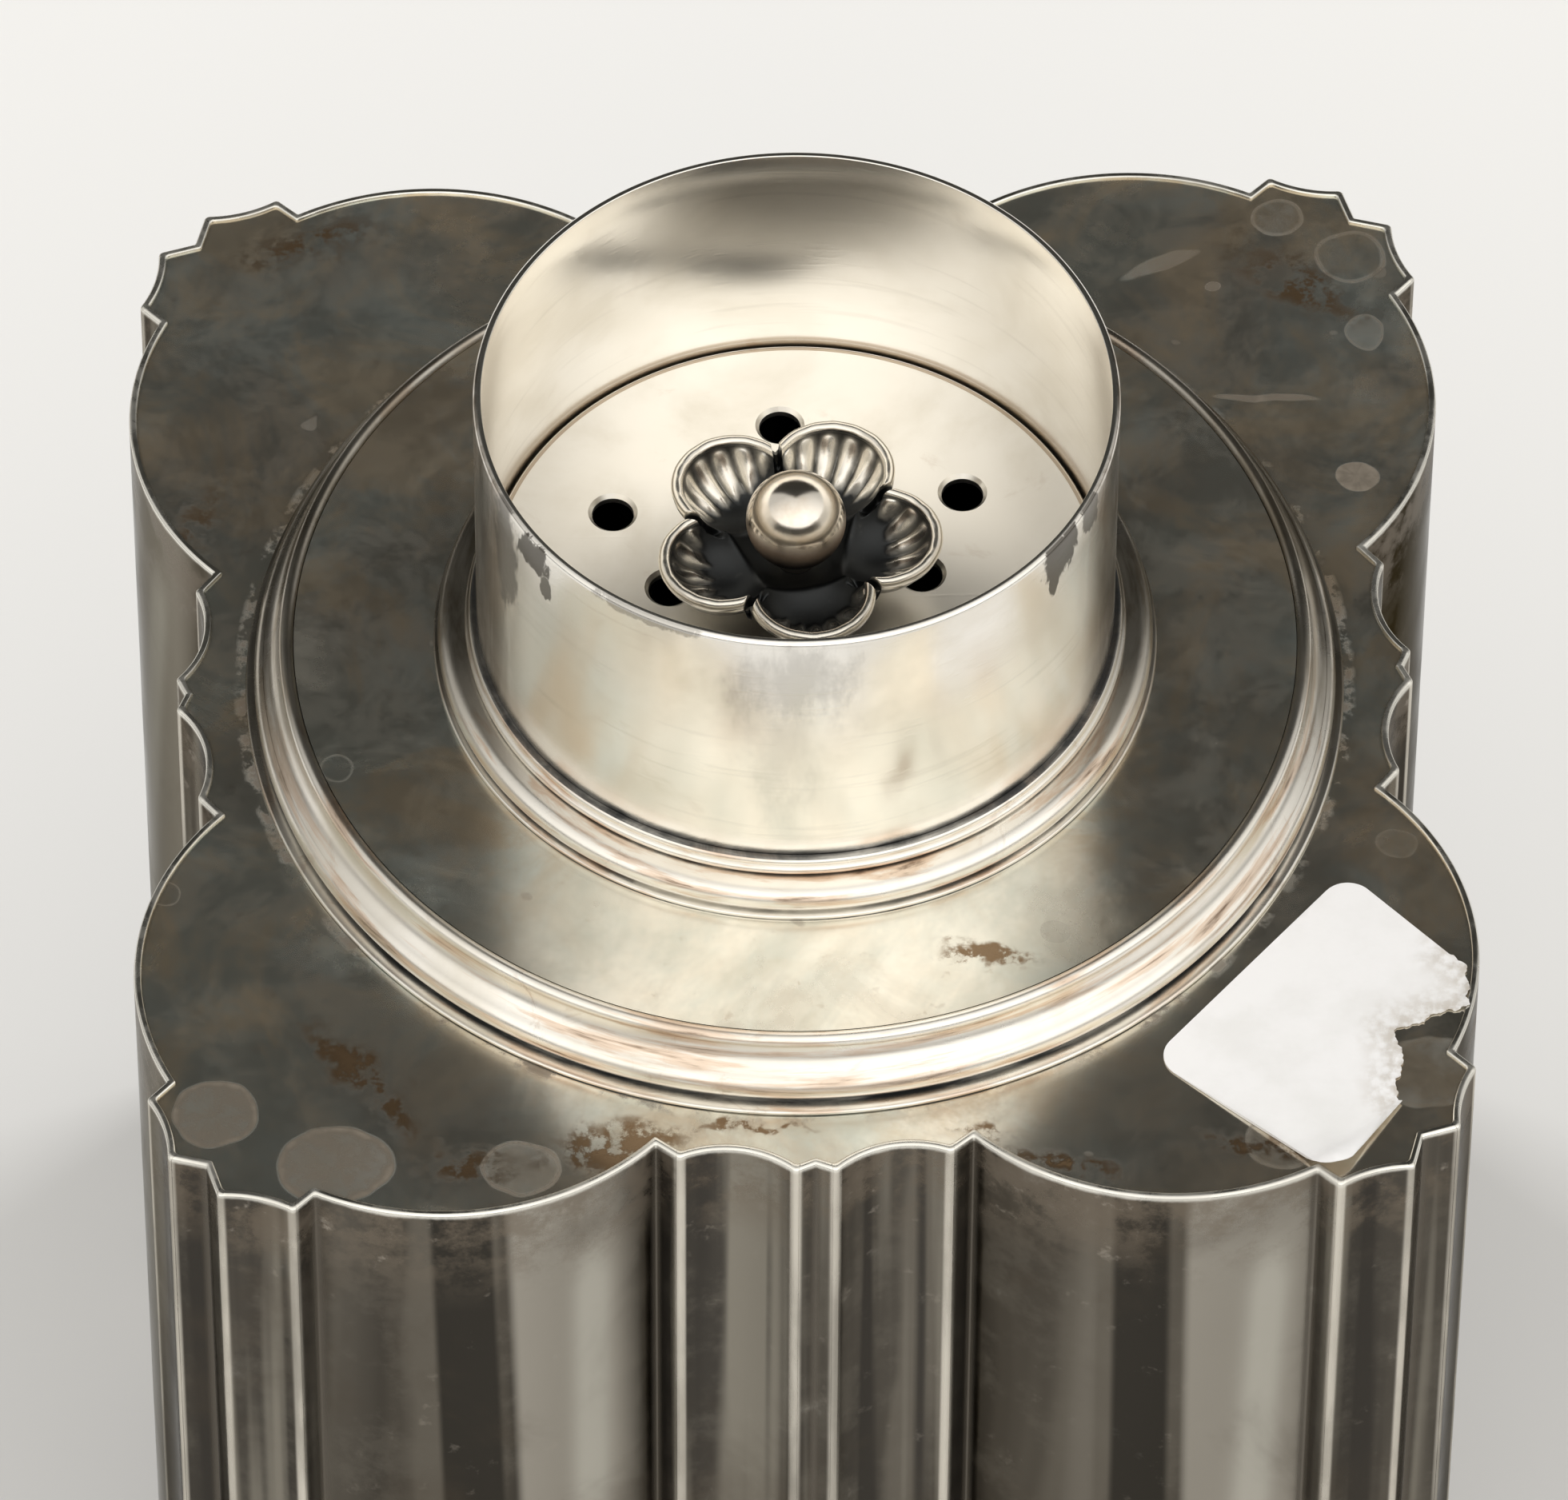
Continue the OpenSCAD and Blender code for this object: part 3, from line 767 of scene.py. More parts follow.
def wall_metal(name):
    """Dark brown-grey tarnish under painted reflections: upright tone bands, sheen bands, a dark band and a
    glint; the top edge and reeds worn bright with painted highlights; painted shade with grime in the
    notches.
    """
    darkest, darker, dark = rgb(0.066, 0.060, 0.052), rgb(0.098, 0.088, 0.074), rgb(0.155, 0.14, 0.117)
    mottle_grey, pale_grey, painted_dark = rgb(0.17, 0.155, 0.13), rgb(0.27, 0.25, 0.21), rgb(0.055, 0.05, 0.044)
    sheen_grey, shadow, glint_grey = rgb(0.38, 0.355, 0.31), rgb(0.05, 0.046, 0.04), rgb(0.56, 0.54, 0.48)
    cloud_brown, patina_brown = rgb(0.10, 0.08, 0.06), rgb(0.185, 0.15, 0.112)
    speck_tan, notch_shade_grime = rgb(0.48, 0.43, 0.37), rgb(0.115, 0.10, 0.08)
    reed_wear_highlight_silver, lip_wear_highlight_silver = rgb(0.74, 0.70, 0.62), rgb(0.97, 0.95, 0.88)
    material, n, shader = metal(name)
    where = n.place()
    height = n.split(where)[2]
    below = n.minus((SHOULDER + LIP) * MM, height)
    along, reeded, ridge = (n.attribute(label) for label in ("along", "reeded", "ridge"))
    wander = n.waver(where, 50.0, 2.0, 2.2 * MM)
    slanting = n.vector(n.plus(n.plus(along, wander), n.times(height, 0.05)), 0.0, n.times(height, 0.03))
    bands = n.noise(slanting, 105.0, 2.0, 0.45)
    streaks = n.noise(n.vector(along, 0.0, n.times(height, 0.02)), 330.0, 2.0, 0.5)
    clouds = n.noise(where, 60.0, 5.0, 0.6, 0.5)
    mottle = n.noise(where, 170.0, 6.0, 0.7)
    specks = n.noise(where, 380.0, 4.0, 0.65)
    drawn_down = n.noise(n.place(scale=(1, 1, 0.2)), 170.0, 4.0, 0.6)
    # Painted reflection: the sheen attribute with the upright bands lightens and darkens the walls; the glint
    # is a painted highlight stripe
    sheen = n.plus(n.attribute("sheen"), n.times(n.minus(bands, 0.5), 0.25))
    glint = n.times(n.attribute("glint"), n.ramp(below, 3 * MM, 14 * MM))
    patina = n.times(n.ramp(below, 2 * MM, 13 * MM, 1.0, 0.0), n.ramp(mottle, 0.40, 0.60))
    speckled = n.times(n.ramp(specks, 0.62, 0.76), n.ramp(below, 1 * MM, 14 * MM, 0.6, 0.2))
    # Reeds' edges and the top edge: worn bright silver with a painted highlight; notches: painted shade with
    # grime
    worn = n.times(n.ramp(ridge, 0.2, 0.9), n.ramp(drawn_down, 0.34, 0.62, 0.45, 1.0))
    notch = n.times(n.ramp(ridge, -0.2, -1.0), 0.8)
    lip = n.plus(n.attribute("lip"), n.times(n.minus(mottle, 0.5), 0.9))
    lip = n.times(n.ramp(lip, 0.1, 0.7), n.ramp(clouds, 0.35, 0.6, 1.0, 0.75))
    colour = n.coated(
        # Upright tone bands of painted reflection; on the reeded parts upright streaks, partly tarnish and
        # partly painted reflection
        n.mix(n.ramp(bands, 0.40, 0.50), darkest, darker),
        (n.ramp(bands, 0.54, 0.62), dark),
        (n.times(n.ramp(mottle, 0.44, 0.62), 0.35), mottle_grey),
        (n.times(n.ramp(streaks, 0.50, 0.64), reeded), pale_grey),
        (n.times(n.ramp(streaks, 0.48, 0.36), reeded), painted_dark),
        # Painted reflection: lighter sheen bands, a darker band and a glint stripe
        (n.ramp(sheen, 0.15, 0.65), sheen_grey),
        (n.ramp(sheen, -0.2, -0.6), shadow),
        (n.ramp(glint, 0.0, 0.95), glint_grey),
        (n.times(n.ramp(clouds, 0.5, 0.75), 0.4), cloud_brown),
        (n.times(patina, 0.65), patina_brown),
        (speckled, speck_tan),
        # Wear with painted highlights on reeds and top edge, painted shade with grime in the notches
        (worn, reed_wear_highlight_silver),
        (notch, notch_shade_grime),
        (lip, lip_wear_highlight_silver),
    )
    n.join(colour, shader.inputs["Base Color"])
    dull = n.larger(n.times(notch, 0.7), n.times(patina, 0.35))
    dull = n.larger(dull, n.times(reeded, 0.2))
    dull = n.times(dull, n.minus(1.0, lip))
    n.join(n.ramp(dull, 0.0, 1.0, 1.0, 0.0, smooth=False), shader.inputs["Metallic"])
    shader.inputs["Specular Tint"].default_value = rgb(0.35, 0.34, 0.32)
    rough = n.plus(n.ramp(clouds, 0.3, 0.75, 0.12, 0.26), n.times(patina, 0.15))
    n.join(n.larger(rough, n.times(worn, 0.36)), shader.inputs["Roughness"])
    n.join(n.bump(n.noise(where, 30.0, 2.0), 0.12, 2 * MM), shader.inputs["Normal"])
    return material


def oxidised_metal(name):
    """Black oxide in the hollows, worn bright on the ribs and lips."""
    black, grey, silver = rgb(0.045, 0.047, 0.048), rgb(0.36, 0.345, 0.31), rgb(0.93, 0.88, 0.79)
    material, n, shader = metal(name)
    where = n.place()
    patches = n.noise(where, 700.0, 5.0, 0.6)
    level = n.plus(n.attribute("wear"), n.times(n.minus(patches, 0.5), 0.5))
    colour = n.mix(n.ramp(level, 0.4, 0.85), n.mix(n.ramp(level, 0.05, 0.45), black, grey), silver)
    n.join(colour, shader.inputs["Base Color"])
    n.join(n.ramp(level, 0.1, 0.9, 0.45, 0.26), shader.inputs["Roughness"])
    n.join(n.bump(patches, 0.2, 0.1 * MM), shader.inputs["Normal"])
    return material


def paper_material(name):
    """White label paper with scuffed grey fibre near its torn side."""
    white, off_white, fibre_grey = rgb(0.90, 0.895, 0.90), rgb(0.84, 0.835, 0.83), rgb(0.60, 0.56, 0.51)
    material, n, shader = metal(name)
    shader.inputs["Metallic"].default_value = 0.0
    where = n.place()
    scuff = n.times(n.attribute("scuff"), n.ramp(n.noise(where, 900.0, 4.0), 0.35, 0.65))
    clean = n.mix(n.ramp(n.noise(where, 160.0, 4.0), 0.4, 0.7), white, off_white)
    n.join(n.mix(scuff, clean, fibre_grey), shader.inputs["Base Color"])
    shader.inputs["Roughness"].default_value = 0.75
    fibre = n.plus(n.noise(where, 2500.0, 3.0), n.times(scuff, 2.0))
    n.join(n.bump(fibre, 0.25, 0.08 * MM), shader.inputs["Normal"])
    return material


def floor_material(name):
    material, _, shader = metal(name)
    shader.inputs["Metallic"].default_value = 0.0
    shader.inputs["Base Color"].default_value = rgb(0.745, 0.74, 0.73)
    shader.inputs["Roughness"].default_value = 0.9
    shader.inputs["Specular IOR Level"].default_value = 0.1
    return material


# ---------------------------------------------------------------- body pieces
def wall_section():
    """The wall sheet's cross-section as (inset, height) pairs, its top edge rounded."""
    bottom, top = BASE, SHOULDER + LIP
    outer_round, inner_round = 0.3, 0.15
    outside = [(0.0, bottom), (0.0, bottom + 30), (0.0, bottom + 55)]
    outside += [(0.0, top - drop) for drop in SHADING_DROPS]
    outer_edge = [(outer_round * (1 - math.cos(a)), top - outer_round * (1 - math.sin(a)))
                  for a in (math.radians(d) for d in range(0, 91, 15))]
    inner_edge = [(WALL - inner_round * (1 - math.sin(a)), top - inner_round * (1 - math.cos(a)))
                  for a in (math.radians(d) for d in range(0, 91, 30))]
    return outside + outer_edge + inner_edge + [(WALL, bottom)]


def ridge_values(points):
    """For each outline point, how near it lies to a reed's edge (towards 1) or a notch (towards -1)."""
    values = []
    marks = [(p, ridge) for p, ridge in points if ridge]
    for p, _ in points:
        reed = min((p - q).length for q, ridge in marks if ridge > 0)
        notch = min((p - q).length for q, ridge in marks if ridge < 0)
        bright = max(0.0, 1.0 - reed / REED_REACH)
        dark = max(0.0, 1.0 - notch / NOTCH_REACH)
        values.append(bright if bright >= dark else -dark)
    return values


def lobe_of(p):
    """The centre of the lobe that an outline point lies on, or None."""
    slack = 0.1
    for centre in LOBE_CENTRES:
        if (p - Vector(centre)).length < LOBE[1] + slack:
            return centre
    return None


def bearing_in_lobe(p, centre):
    """Bearing of an outline point from its lobe's outward axis, in degrees."""
    arm = p - Vector(centre)
    outward = 90.0 if centre[1] > centre[0] else 0.0
    return math.degrees(math.atan2(arm.y, arm.x)) - outward


# An upright band of painted sheen, centred at a bearing and leaning further the lower it is
Band = namedtuple("Band", "centre bearing half strength broad lean")


def sheen_bands(turn):
    """A broad and a faint band of painted sheen on each lobe of a quarter."""
    rng = random.Random(turn + SHEEN_SEED)
    kinds = [(centre, kind) for centre in LOBE_CENTRES for kind in (BROAD_SHEEN, FAINT_SHEEN)]
    bearings = [kind[0] + rng.uniform(-BEARING_SPREAD, BEARING_SPREAD) for _, kind in kinds]
    leans = [rng.uniform(-LEAN_SPREAD, LEAN_SPREAD) for _ in kinds]
    return [Band(centre, bearing, kind[1], kind[2], kind is BROAD_SHEEN, lean)
            for (centre, kind), bearing, lean in zip(kinds, bearings, leans)]


def sheen_glint_values(points, bands, drop):
    """Painted sheen and glint on each outline point at a depth below the top edge.

    Sheen is above zero in the bands of painted sheen and below zero in the painted dark band beside each
    broad one."""
    sheen, glint = [], []
    for p, _ in points:
        pale, dark, stripe = 0.0, 0.0, 0.0
        lobe = lobe_of(p)
        for band in (band for band in bands if band.centre == lobe):
            off_middle = bearing_in_lobe(p, lobe) - band.bearing
            gap = off_middle - band.lean * drop
            fade = (gap / band.half / 2) ** 2 if gap > 0 else (gap / band.half) ** 4
            pale = max(pale, band.strength * math.exp(-fade))
            if band.broad:
                dark = math.exp(-((gap - DARK_AT) / DARK_HALF) ** 4)
                off_stripe = off_middle - GLINT_AT - (GLINT_SWING * band.lean + GLINT_LEAN) * drop
                stripe = math.exp(-(off_stripe / GLINT_HALF) ** 2)
        sheen.append(pale - dark)
        glint.append(stripe)
    return sheen, glint


def wall_piece(name, turn, material):
    """One quarter of the wall; turn 0 is the back right quarter."""
    rotation = Matrix.Rotation(math.radians(turn), 2)
    outline = rounded_corners(quarter(0.0))
    ridges = ridge_values(outline)
    along = [0.0]
    for (p, _), (q, _) in zip(outline, outline[1:]):
        along.append(along[-1] + (q - p).length)
    # Bands of painted sheen, with a painted dark band and a painted glint, on this quarter
    bands = sheen_bands(turn)
    rows, lips, sheen, glint = [], [], [], []
    for inset, height in wall_section():
        drop = SHOULDER + LIP - height
        rows.append([(p.x, p.y, height) for p in (rotation @ q for q, _ in rounded_corners(quarter(inset)))])
        lips += [max(0.0, 1.0 - drop / LIP_REACH)] * len(outline)
        row_sheen, row_glint = sheen_glint_values(outline, bands, drop)
        sheen += row_sheen
        glint += row_glint
    verts = [v for row in rows for v in row]
    faces = bridge(rows, True, False)
    width = len(rows[0])
    for column in (0, width - 1):
        faces.append([r * width + column for r in range(len(rows))])
    attributes = {"ridge": ridges * len(rows), "lip": lips, "sheen": sheen, "glint": glint,
                  "reeded": [0.0 if lobe_of(p) else 1.0 for p, _ in outline] * len(rows),
                  "along": [(distance + turn) * MM for distance in along] * len(rows)}
    return new_piece(name + "_skin", verts, faces, "caddy", "wall_metal", material, (name,), 30, attributes)


def full_outline(inset):
    """Closed outline of the whole body."""
    quarter_points = [p for p, _ in rounded_corners(quarter(inset))][:-1]
    points = []
    for k in range(4):
        turn = Matrix.Rotation(-math.pi / 2 * k, 2)
        points += [turn @ p for p in quarter_points]
    return points


def shoulder_piece(material):
    """The shoulder plate, cut to the body's outline, with its round opening."""
    outer = full_outline(WALL)
    segments = 192
    inner = [Vector((PLATE_OPENING * math.cos(a), PLATE_OPENING * math.sin(a)))
             for a in (2 * math.pi * i / segments for i in range(segments))]
    loops = [[p.to_3d() for p in outer], [p.to_3d() for p in inner]]
    flat = geometry.tessellate_polygon(loops)
    points = outer + inner
    count = len(points)
    verts = [(p.x, p.y, SHOULDER) for p in points] + [(p.x, p.y, SHOULDER - PLATE) for p in points]
    faces = [tuple(face) for face in flat] + [tuple(i + count for i in reversed(face)) for face in flat]
    for start, length in ((0, len(outer)), (len(outer), len(inner))):
        for i in range(length):
            a, b = start + i, start + (i + 1) % length
            faces.append((a, b, b + count, a + count))
    return new_piece("shoulder_plate_skin", verts, faces, "caddy", "shoulder_metal", material,
                     ("shoulder_plate",), 30)


def base_piece(material):
    """The base plate, its edges broken by drawing the outline in towards the axis."""
    outline = full_outline(-BASE_MARGIN)
    edge, reach = 0.3, 60.0
    rows = []
    for inset, height in ((edge, 0.0), (0.0, edge), (0.0, BASE - edge), (edge, BASE)):
        rows.append([(p.x * (1 - inset / reach), p.y * (1 - inset / reach), height) for p in outline])
    verts = [v for row in rows for v in row]
    faces = bridge(rows, False, True)
    width = len(outline)
    faces.append(list(range(width)))
    faces.append([3 * width + i for i in range(width)])
    attributes = {label: [0.0] * len(verts) for label in ("ridge", "lip", "sheen", "glint", "reeded")}
    attributes["along"] = [v[0] * MM for v in verts]
    return new_piece("base_plate_skin", verts, faces, "caddy", "wall_metal", material, ("base_plate",), 30,
                     attributes)


def moulding_profile():
    """Section of the stepped ring: foot, undercut, bead, hollow, top roll."""
    foot, undercut = (FOOT_R - 0.2, 0.2), (42.1, 0.42)
    bead, hollow, roll = (41.25, 1.75), (43.1, 5.2), (40.0, 5.4)
    return ([(MOULD_IN, 0.0), (FOOT_R - 0.15, 0.0)] + arc(foot, 0.2, -90, 90, 6) + [undercut]
            + arc(bead, 1.35, -51, 61.8, 22) + arc(hollow, 2.6, 241.8, 184, 22)
            + arc(roll, 0.6, -30, 180, 20))


def neck_moulding_profile():
    """Half-round ring with a thin flat foot."""
    foot_edge, half_round = (DISH_FLAT_R - 0.15, 5.72), (NECK_R + 1.95, 6.8)
    return ([(NECK_BORE, DISH_FLOOR), (DISH_FLAT_R, DISH_FLOOR)] + arc(foot_edge, 0.17, 0, 90, 4)
            + arc(half_round, 1.15, -50, 90, 26) + [(NECK_BORE, NECK_FOOT)])


def foot_ring_profile():
    """Thin stepped ring: a bead below, a groove and a small quarter round against the neck."""
    bead, quarter_round = (NECK_R + 0.55, 8.35), (NECK_R + 0.28, 9.0)
    return ([(NECK_BORE, NECK_FOOT), (NECK_R + 0.7, NECK_FOOT)] + arc(bead, 0.42, -60, 75, 12)
            + arc(quarter_round, 0.4, -10, 90, 9)
            + [(NECK_R, 9.4), (NECK_R - 0.3, NECK_BOTTOM), (NECK_BORE, NECK_BOTTOM)])


def dish_profile():
    """The ring between the mouldings, sloping down inwards in steps of a millimetre."""
    slope = (DISH_RIM - DISH_FLOOR) / (MOULD_IN - DISH_FLAT_R)
    top = [(MOULD_IN - i, DISH_RIM - slope * i) for i in range(12)]
    return ([(NECK_BORE, DISH_FLOOR - DISH_SHEET), (MOULD_IN, DISH_RIM - DISH_SHEET)] + top
            + [(NECK_BORE, DISH_FLOOR)])


def collar_profile():
    """The neck tube with a softly rounded rim."""
    top, steps, inner_round = RIM - SHOULDER, 8, 0.1
    height = top - RIM_ROUND - NECK_BOTTOM
    levels = [NECK_BOTTOM + height * i / steps for i in range(steps)]
    return ([(NECK_R, z) for z in levels] + arc((NECK_R - RIM_ROUND, top - RIM_ROUND), RIM_ROUND, 0, 90, 10)
            + arc((NECK_BORE + inner_round, top - inner_round), inner_round, 90, 180, 4)
            + [(NECK_BORE, z) for z in reversed(levels)])


def lid_edge_profile():
    """The tarnished round edge of the inner lid."""
    inner, outer, corner = LID_R - 0.35, LID_R + 0.2, 0.4
    top, bottom = 0.03, -0.57
    return ([(inner, top)] + arc((outer - corner, top - corner), corner, 90, 0, 8)
            + [(outer, bottom), (inner, bottom)])


# ---------------------------------------------------------------- flower knob
def soft_min(a, b, blend):
    """The smaller of two heights, rounded where they meet."""
    mix = max(0.0, min(1.0, 0.5 + 0.5 * (b - a) / blend))
    return b + (a - b) * mix - blend * mix * (1 - mix)


def scoop_height(bearing, distance, radius, bowl_radius, blend=0.5):
    """Height of the five scoops and the bowl, as spheres, at a bearing from a petal's middle."""
    gap = distance ** 2 + PETAL_AT ** 2 - 2 * distance * PETAL_AT * math.cos(bearing)
    scoop = PETAL_Z - math.sqrt(max(radius ** 2 - gap, 0.0))
    bowl = BOWL_Z - math.sqrt(max(bowl_radius ** 2 - distance ** 2, 0.0))
    return soft_min(scoop, bowl, blend)


def lip_distance(bearing, radius):
    """How far from the flower's axis a petal's rim lies."""
    level = math.sqrt(radius ** 2 - (PETAL_Z - LIP_Z) ** 2)
    return PETAL_AT * math.cos(bearing) + math.sqrt(level ** 2 - (PETAL_AT * math.sin(bearing)) ** 2)


def petal_column(bearing):
    """Section of the flower at a bearing: ribbed hollow, groove, rolled rim, underside, hub.

    Each point is (distance, height, wear); a deep slit parts each petal from the next."""
    half = math.pi / PETALS
    inner, outer = lip_distance(bearing, PETAL_R - ROLL_WIDTH), lip_distance(bearing, PETAL_R)
    curled = outer + LIP_CURL * (1 - (bearing / half) ** 4)

    def cut(distance):
        """Depth of the slit between petals."""
        gap = distance * math.sin(half - abs(bearing))
        start = max(0.0, min(1.0, (distance - SLIT_FROM) / SLIT_RUN))
        return SLIT_DEPTH * start * max(0.0, 1.0 - (gap / SLIT_HALF) ** 2)

    column = [(POST_R, HUB_TOP - 0.6, 0.0)]
    steps = 44
    for i in range(steps + 1):
        distance = POST_R + (inner - POST_R) * i / steps
        fan = math.atan2(distance * math.sin(bearing), distance * math.cos(bearing) - RIB_FAN)
        rib = (0.5 + 0.5 * math.cos(fan / RIB_PITCH * 2 * math.pi)) ** 0.5
        uneven = 0.85 + 0.6 * noise.noise(Vector((fan * 7.0, bearing * 3.0, 4.0)))
        rise = max(0.0, min(1.0, (distance - RIBS_FROM + uneven * 1.2) / RIBS_RUN))
        groove = max(0.0, min(1.0, (inner - distance) / ROLL_GROOVE))
        strength = rise * groove ** 0.5
        height = scoop_height(bearing, distance, PETAL_R - PETAL_WALL, BOWL_R) + RIB_HEIGHT * rib * strength
        wear = strength * (0.3 + (rib ** 1.2 * 1.15 - 0.15) * uneven)
        column.append((distance, height - cut(distance), max(wear, 0.3 * rise)))
    middle, half_width = (inner + curled) / 2, (curled - inner) / 2
    dent = 0.08 * noise.noise(Vector((bearing * 9.0, 2.0, 7.0)))
    for degrees in range(165, -46, -21):
        angle = math.radians(degrees)
        distance = middle + half_width * math.cos(angle)
        height = LIP_Z - ROLL_RISE + dent + (ROLL_RISE + 0.1) * math.sin(angle)
        column.append((distance, height - cut(distance), 1.0 - 2 * cut(distance)))
    column.append((outer, LIP_Z - LIP_THICK, 0.5))
    under = 16
    for i in range(1, under + 1):
        distance = outer + (HUB_R - outer) * i / under
        height = min(scoop_height(bearing, distance, PETAL_R, BOWL_R + PETAL_WALL), LIP_Z - LIP_THICK)
        column.append((distance, height, 0.6 - 0.4 * i / under))
    return column + [(HUB_R, HUB_BOTTOM, 0.2), (POST_R, HUB_BOTTOM, 0.2)]


def scoop_mesh():
    """One scoop of the flower, whose last section is its first again so that the scoops meet in a ring."""
    per_petal = 180
    columns, wear = [], []
    for k in range(per_petal + 1):
        section = petal_column((k % per_petal / per_petal - 0.5) * 2 * math.pi / PETALS)
        angle = (k / per_petal - 0.5) * 2 * math.pi / PETALS
        columns.append([(r * math.cos(angle), r * math.sin(angle), LID_TOP + z) for r, z, _ in section])
        wear += [mark for _, _, mark in section]
    mesh = bpy.data.meshes.new("scoop")
    verts = [tuple(c * MM for c in v) for column in columns for v in column]
    mesh.from_pydata(verts, [], bridge(columns, False, True))
    mesh.attributes.new("wear", "FLOAT", "POINT").data.foreach_set("value", wear)
    return mesh


def ring_of_copies():
    """Geometry nodes that set copies of a mesh in a ring about the Z axis."""
    tree = bpy.data.node_groups.new("ring_of_copies", "GeometryNodeTree")
    for label, kind in (("Geometry", "Geometry"), ("Count", "Int"), ("First turn", "Float"),
                        ("Material", "Material")):
        tree.interface.new_socket(label, in_out="INPUT", socket_type="NodeSocket" + kind)
    tree.interface.new_socket("Geometry", in_out="OUTPUT", socket_type="NodeSocketGeometry")
    n = Nodes(tree)
    given = n.add("NodeGroupInput").outputs
    points = n.add("GeometryNodePoints")
    n.join(given["Count"], points.inputs["Count"])
    pitch = n.over(2 * math.pi, given["Count"])
    turned = n.plus(n.times(n.add("GeometryNodeInputIndex").outputs[0], pitch), given["First turn"])
    copies = n.add("GeometryNodeInstanceOnPoints")
    n.join(points.outputs[0], copies.inputs["Points"])
    n.join(given["Geometry"], copies.inputs["Instance"])
    n.join(n.vector(z=turned), copies.inputs["Rotation"])
    real = n.add("GeometryNodeRealizeInstances")
    n.join(copies.outputs[0], real.inputs[0])
    finish = n.add("GeometryNodeSetMaterial")
    n.join(real.outputs[0], finish.inputs["Geometry"])
    n.join(given["Material"], finish.inputs["Material"])
    n.join(finish.outputs[0], n.add("NodeGroupOutput").inputs[0])
    return tree


def grown(mesh, tree, **values):
    """The plain mesh that a geometry node tree makes of a mesh, with the tree's inputs set by name."""
    carrier = bpy.data.objects.new(mesh.name, mesh)
    bpy.context.scene.collection.objects.link(carrier)
    modifier = carrier.modifiers.new("grow", "NODES")
    modifier.node_group = tree
    for socket in tree.interface.items_tree:
        key = socket.name.lower().replace(" ", "_")
        if key in values:
            modifier[socket.identifier] = values[key]
    evaluated = carrier.evaluated_get(bpy.context.evaluated_depsgraph_get())
    result = bpy.data.meshes.new_from_object(evaluated)
    bpy.data.objects.remove(carrier)
    return result


def flower_piece(material):
    """The cast flower: five scoops round one open bowl."""
    mesh = grown(scoop_mesh(), ring_of_copies(), count=PETALS, first_turn=math.radians(PETAL_TURN),
                 material=material)
    finish_mesh(mesh, 50, weld=0.002 * MM)
    return add_object("flower_petals_cast", mesh, "inner_lid", material, ("flower_petals",))


def ball_piece(material):
    """The polished ball, a turned sphere with a bore under it for its post."""
    low, high = -math.degrees(math.acos(POST_R / BALL_R)), 89.9
    middle = LID_TOP + BALL_Z
    bore_depth, nearly_axis = 2.0, 0.0001
    bore_top = middle - BALL_R + bore_depth
    profile = arc((0.0, middle), BALL_R, low, high, 48) + [(nearly_axis, bore_top), (POST_R, bore_top)]
    return lathe("flower_ball_polished", profile, 96, body="inner_lid", slot="bright_metal",
                 material=material, replaces=("flower_ball",), sharp=40)


# ---------------------------------------------------------------- torn paper sticker
STICKER_MIDDLE, STICKER_TURN = (41.0, -35.7), 48.2
STICKER_HALF, STICKER_HALF_WIDTH, STICKER_CORNER = 11.9, 9.05, 2.2
PAPER = 0.10
PAPER_TOP = SHOULDER + 0.14
PAPER_STEP = 0.5            # between the mesh's points
TEAR = ((45.4, -43.4), (45.0, -41.2), (45.7, -39.0), (45.2, -36.4), (47.6, -35.6), (49.3, -34.6),
        (51.2, -34.2), (51.2, -31.8), (49.9, -29.0))
SCUFF_REACH = 3.2
CURLED_CORNER, CURL_REACH, CURL_RISE = (40.0, -49.2), 3.6, 0.9
CLIMB_FROM, CLIMB = 0.5, 0.25       # where paper starts to climb over the wall's edge, and how far up


def torn_edge(points, rough, rng, depth=4):
    """Breaks each stretch between points into ever smaller crooked steps."""
    for _ in range(depth):
        result = [points[0]]
        for p, q in zip(points, points[1:]):
            across = Vector((p.y - q.y, q.x - p.x))
            middle = p.lerp(q, rng.uniform(0.35, 0.65)) + across * rng.uniform(-rough, rough)
            result += [middle, q]
        points = result
    return points


def sticker_outline():
    """Blank price sticker as (clean edge with round corners, ragged edge where its right end is torn off)."""
    turn = Matrix.Rotation(math.radians(STICKER_TURN), 2)
    clean = []
    for end, side, start in ((1, 1, 0), (-1, 1, 90), (-1, -1, 180)):
        middle = (end * (STICKER_HALF - STICKER_CORNER), side * (STICKER_HALF_WIDTH - STICKER_CORNER))
        clean += arc(middle, STICKER_CORNER, start, start + 90, 10)
    clean = [Vector(STICKER_MIDDLE) + turn @ Vector(p) for p in clean]
    return clean, torn_edge([Vector(p) for p in TEAR], 0.22, random.Random(11))


def points_inside(loop, step):
    """Points in staggered rows inside a loop, clear of its edge."""
    low, high = (Vector(pick(p[i] for p in loop) for i in range(2)) for pick in (min, max))
    found = []
    for i in range(int((high.x - low.x) / step)):
        for j in range(int((high.y - low.y) / step)):
            point = low + Vector((i + 0.5 * (j % 2), j)) * step
            if inside_loop(point, loop) and min((point - q).length for q in loop) > step * 0.45:
                found.append(point)
    return found


def inside_loop(point, loop):
    """Whether a point is inside a closed loop."""
    inside_now = False
    for p, q in zip(loop, loop[1:] + loop[:1]):
        if (p.y > point.y) != (q.y > point.y):
            if point.x < (q.x - p.x) * (point.y - p.y) / (q.y - p.y) + p.x:
                inside_now = not inside_now
    return inside_now


def edge_gap(point):
    """How far a point on the front right of the shoulder is inside the wall's inner face."""
    centres = (Vector((x, -y)) for x, y in LOBE_CENTRES)
    return max(LOBE[1] - WALL - (point - centre).length for centre in centres)


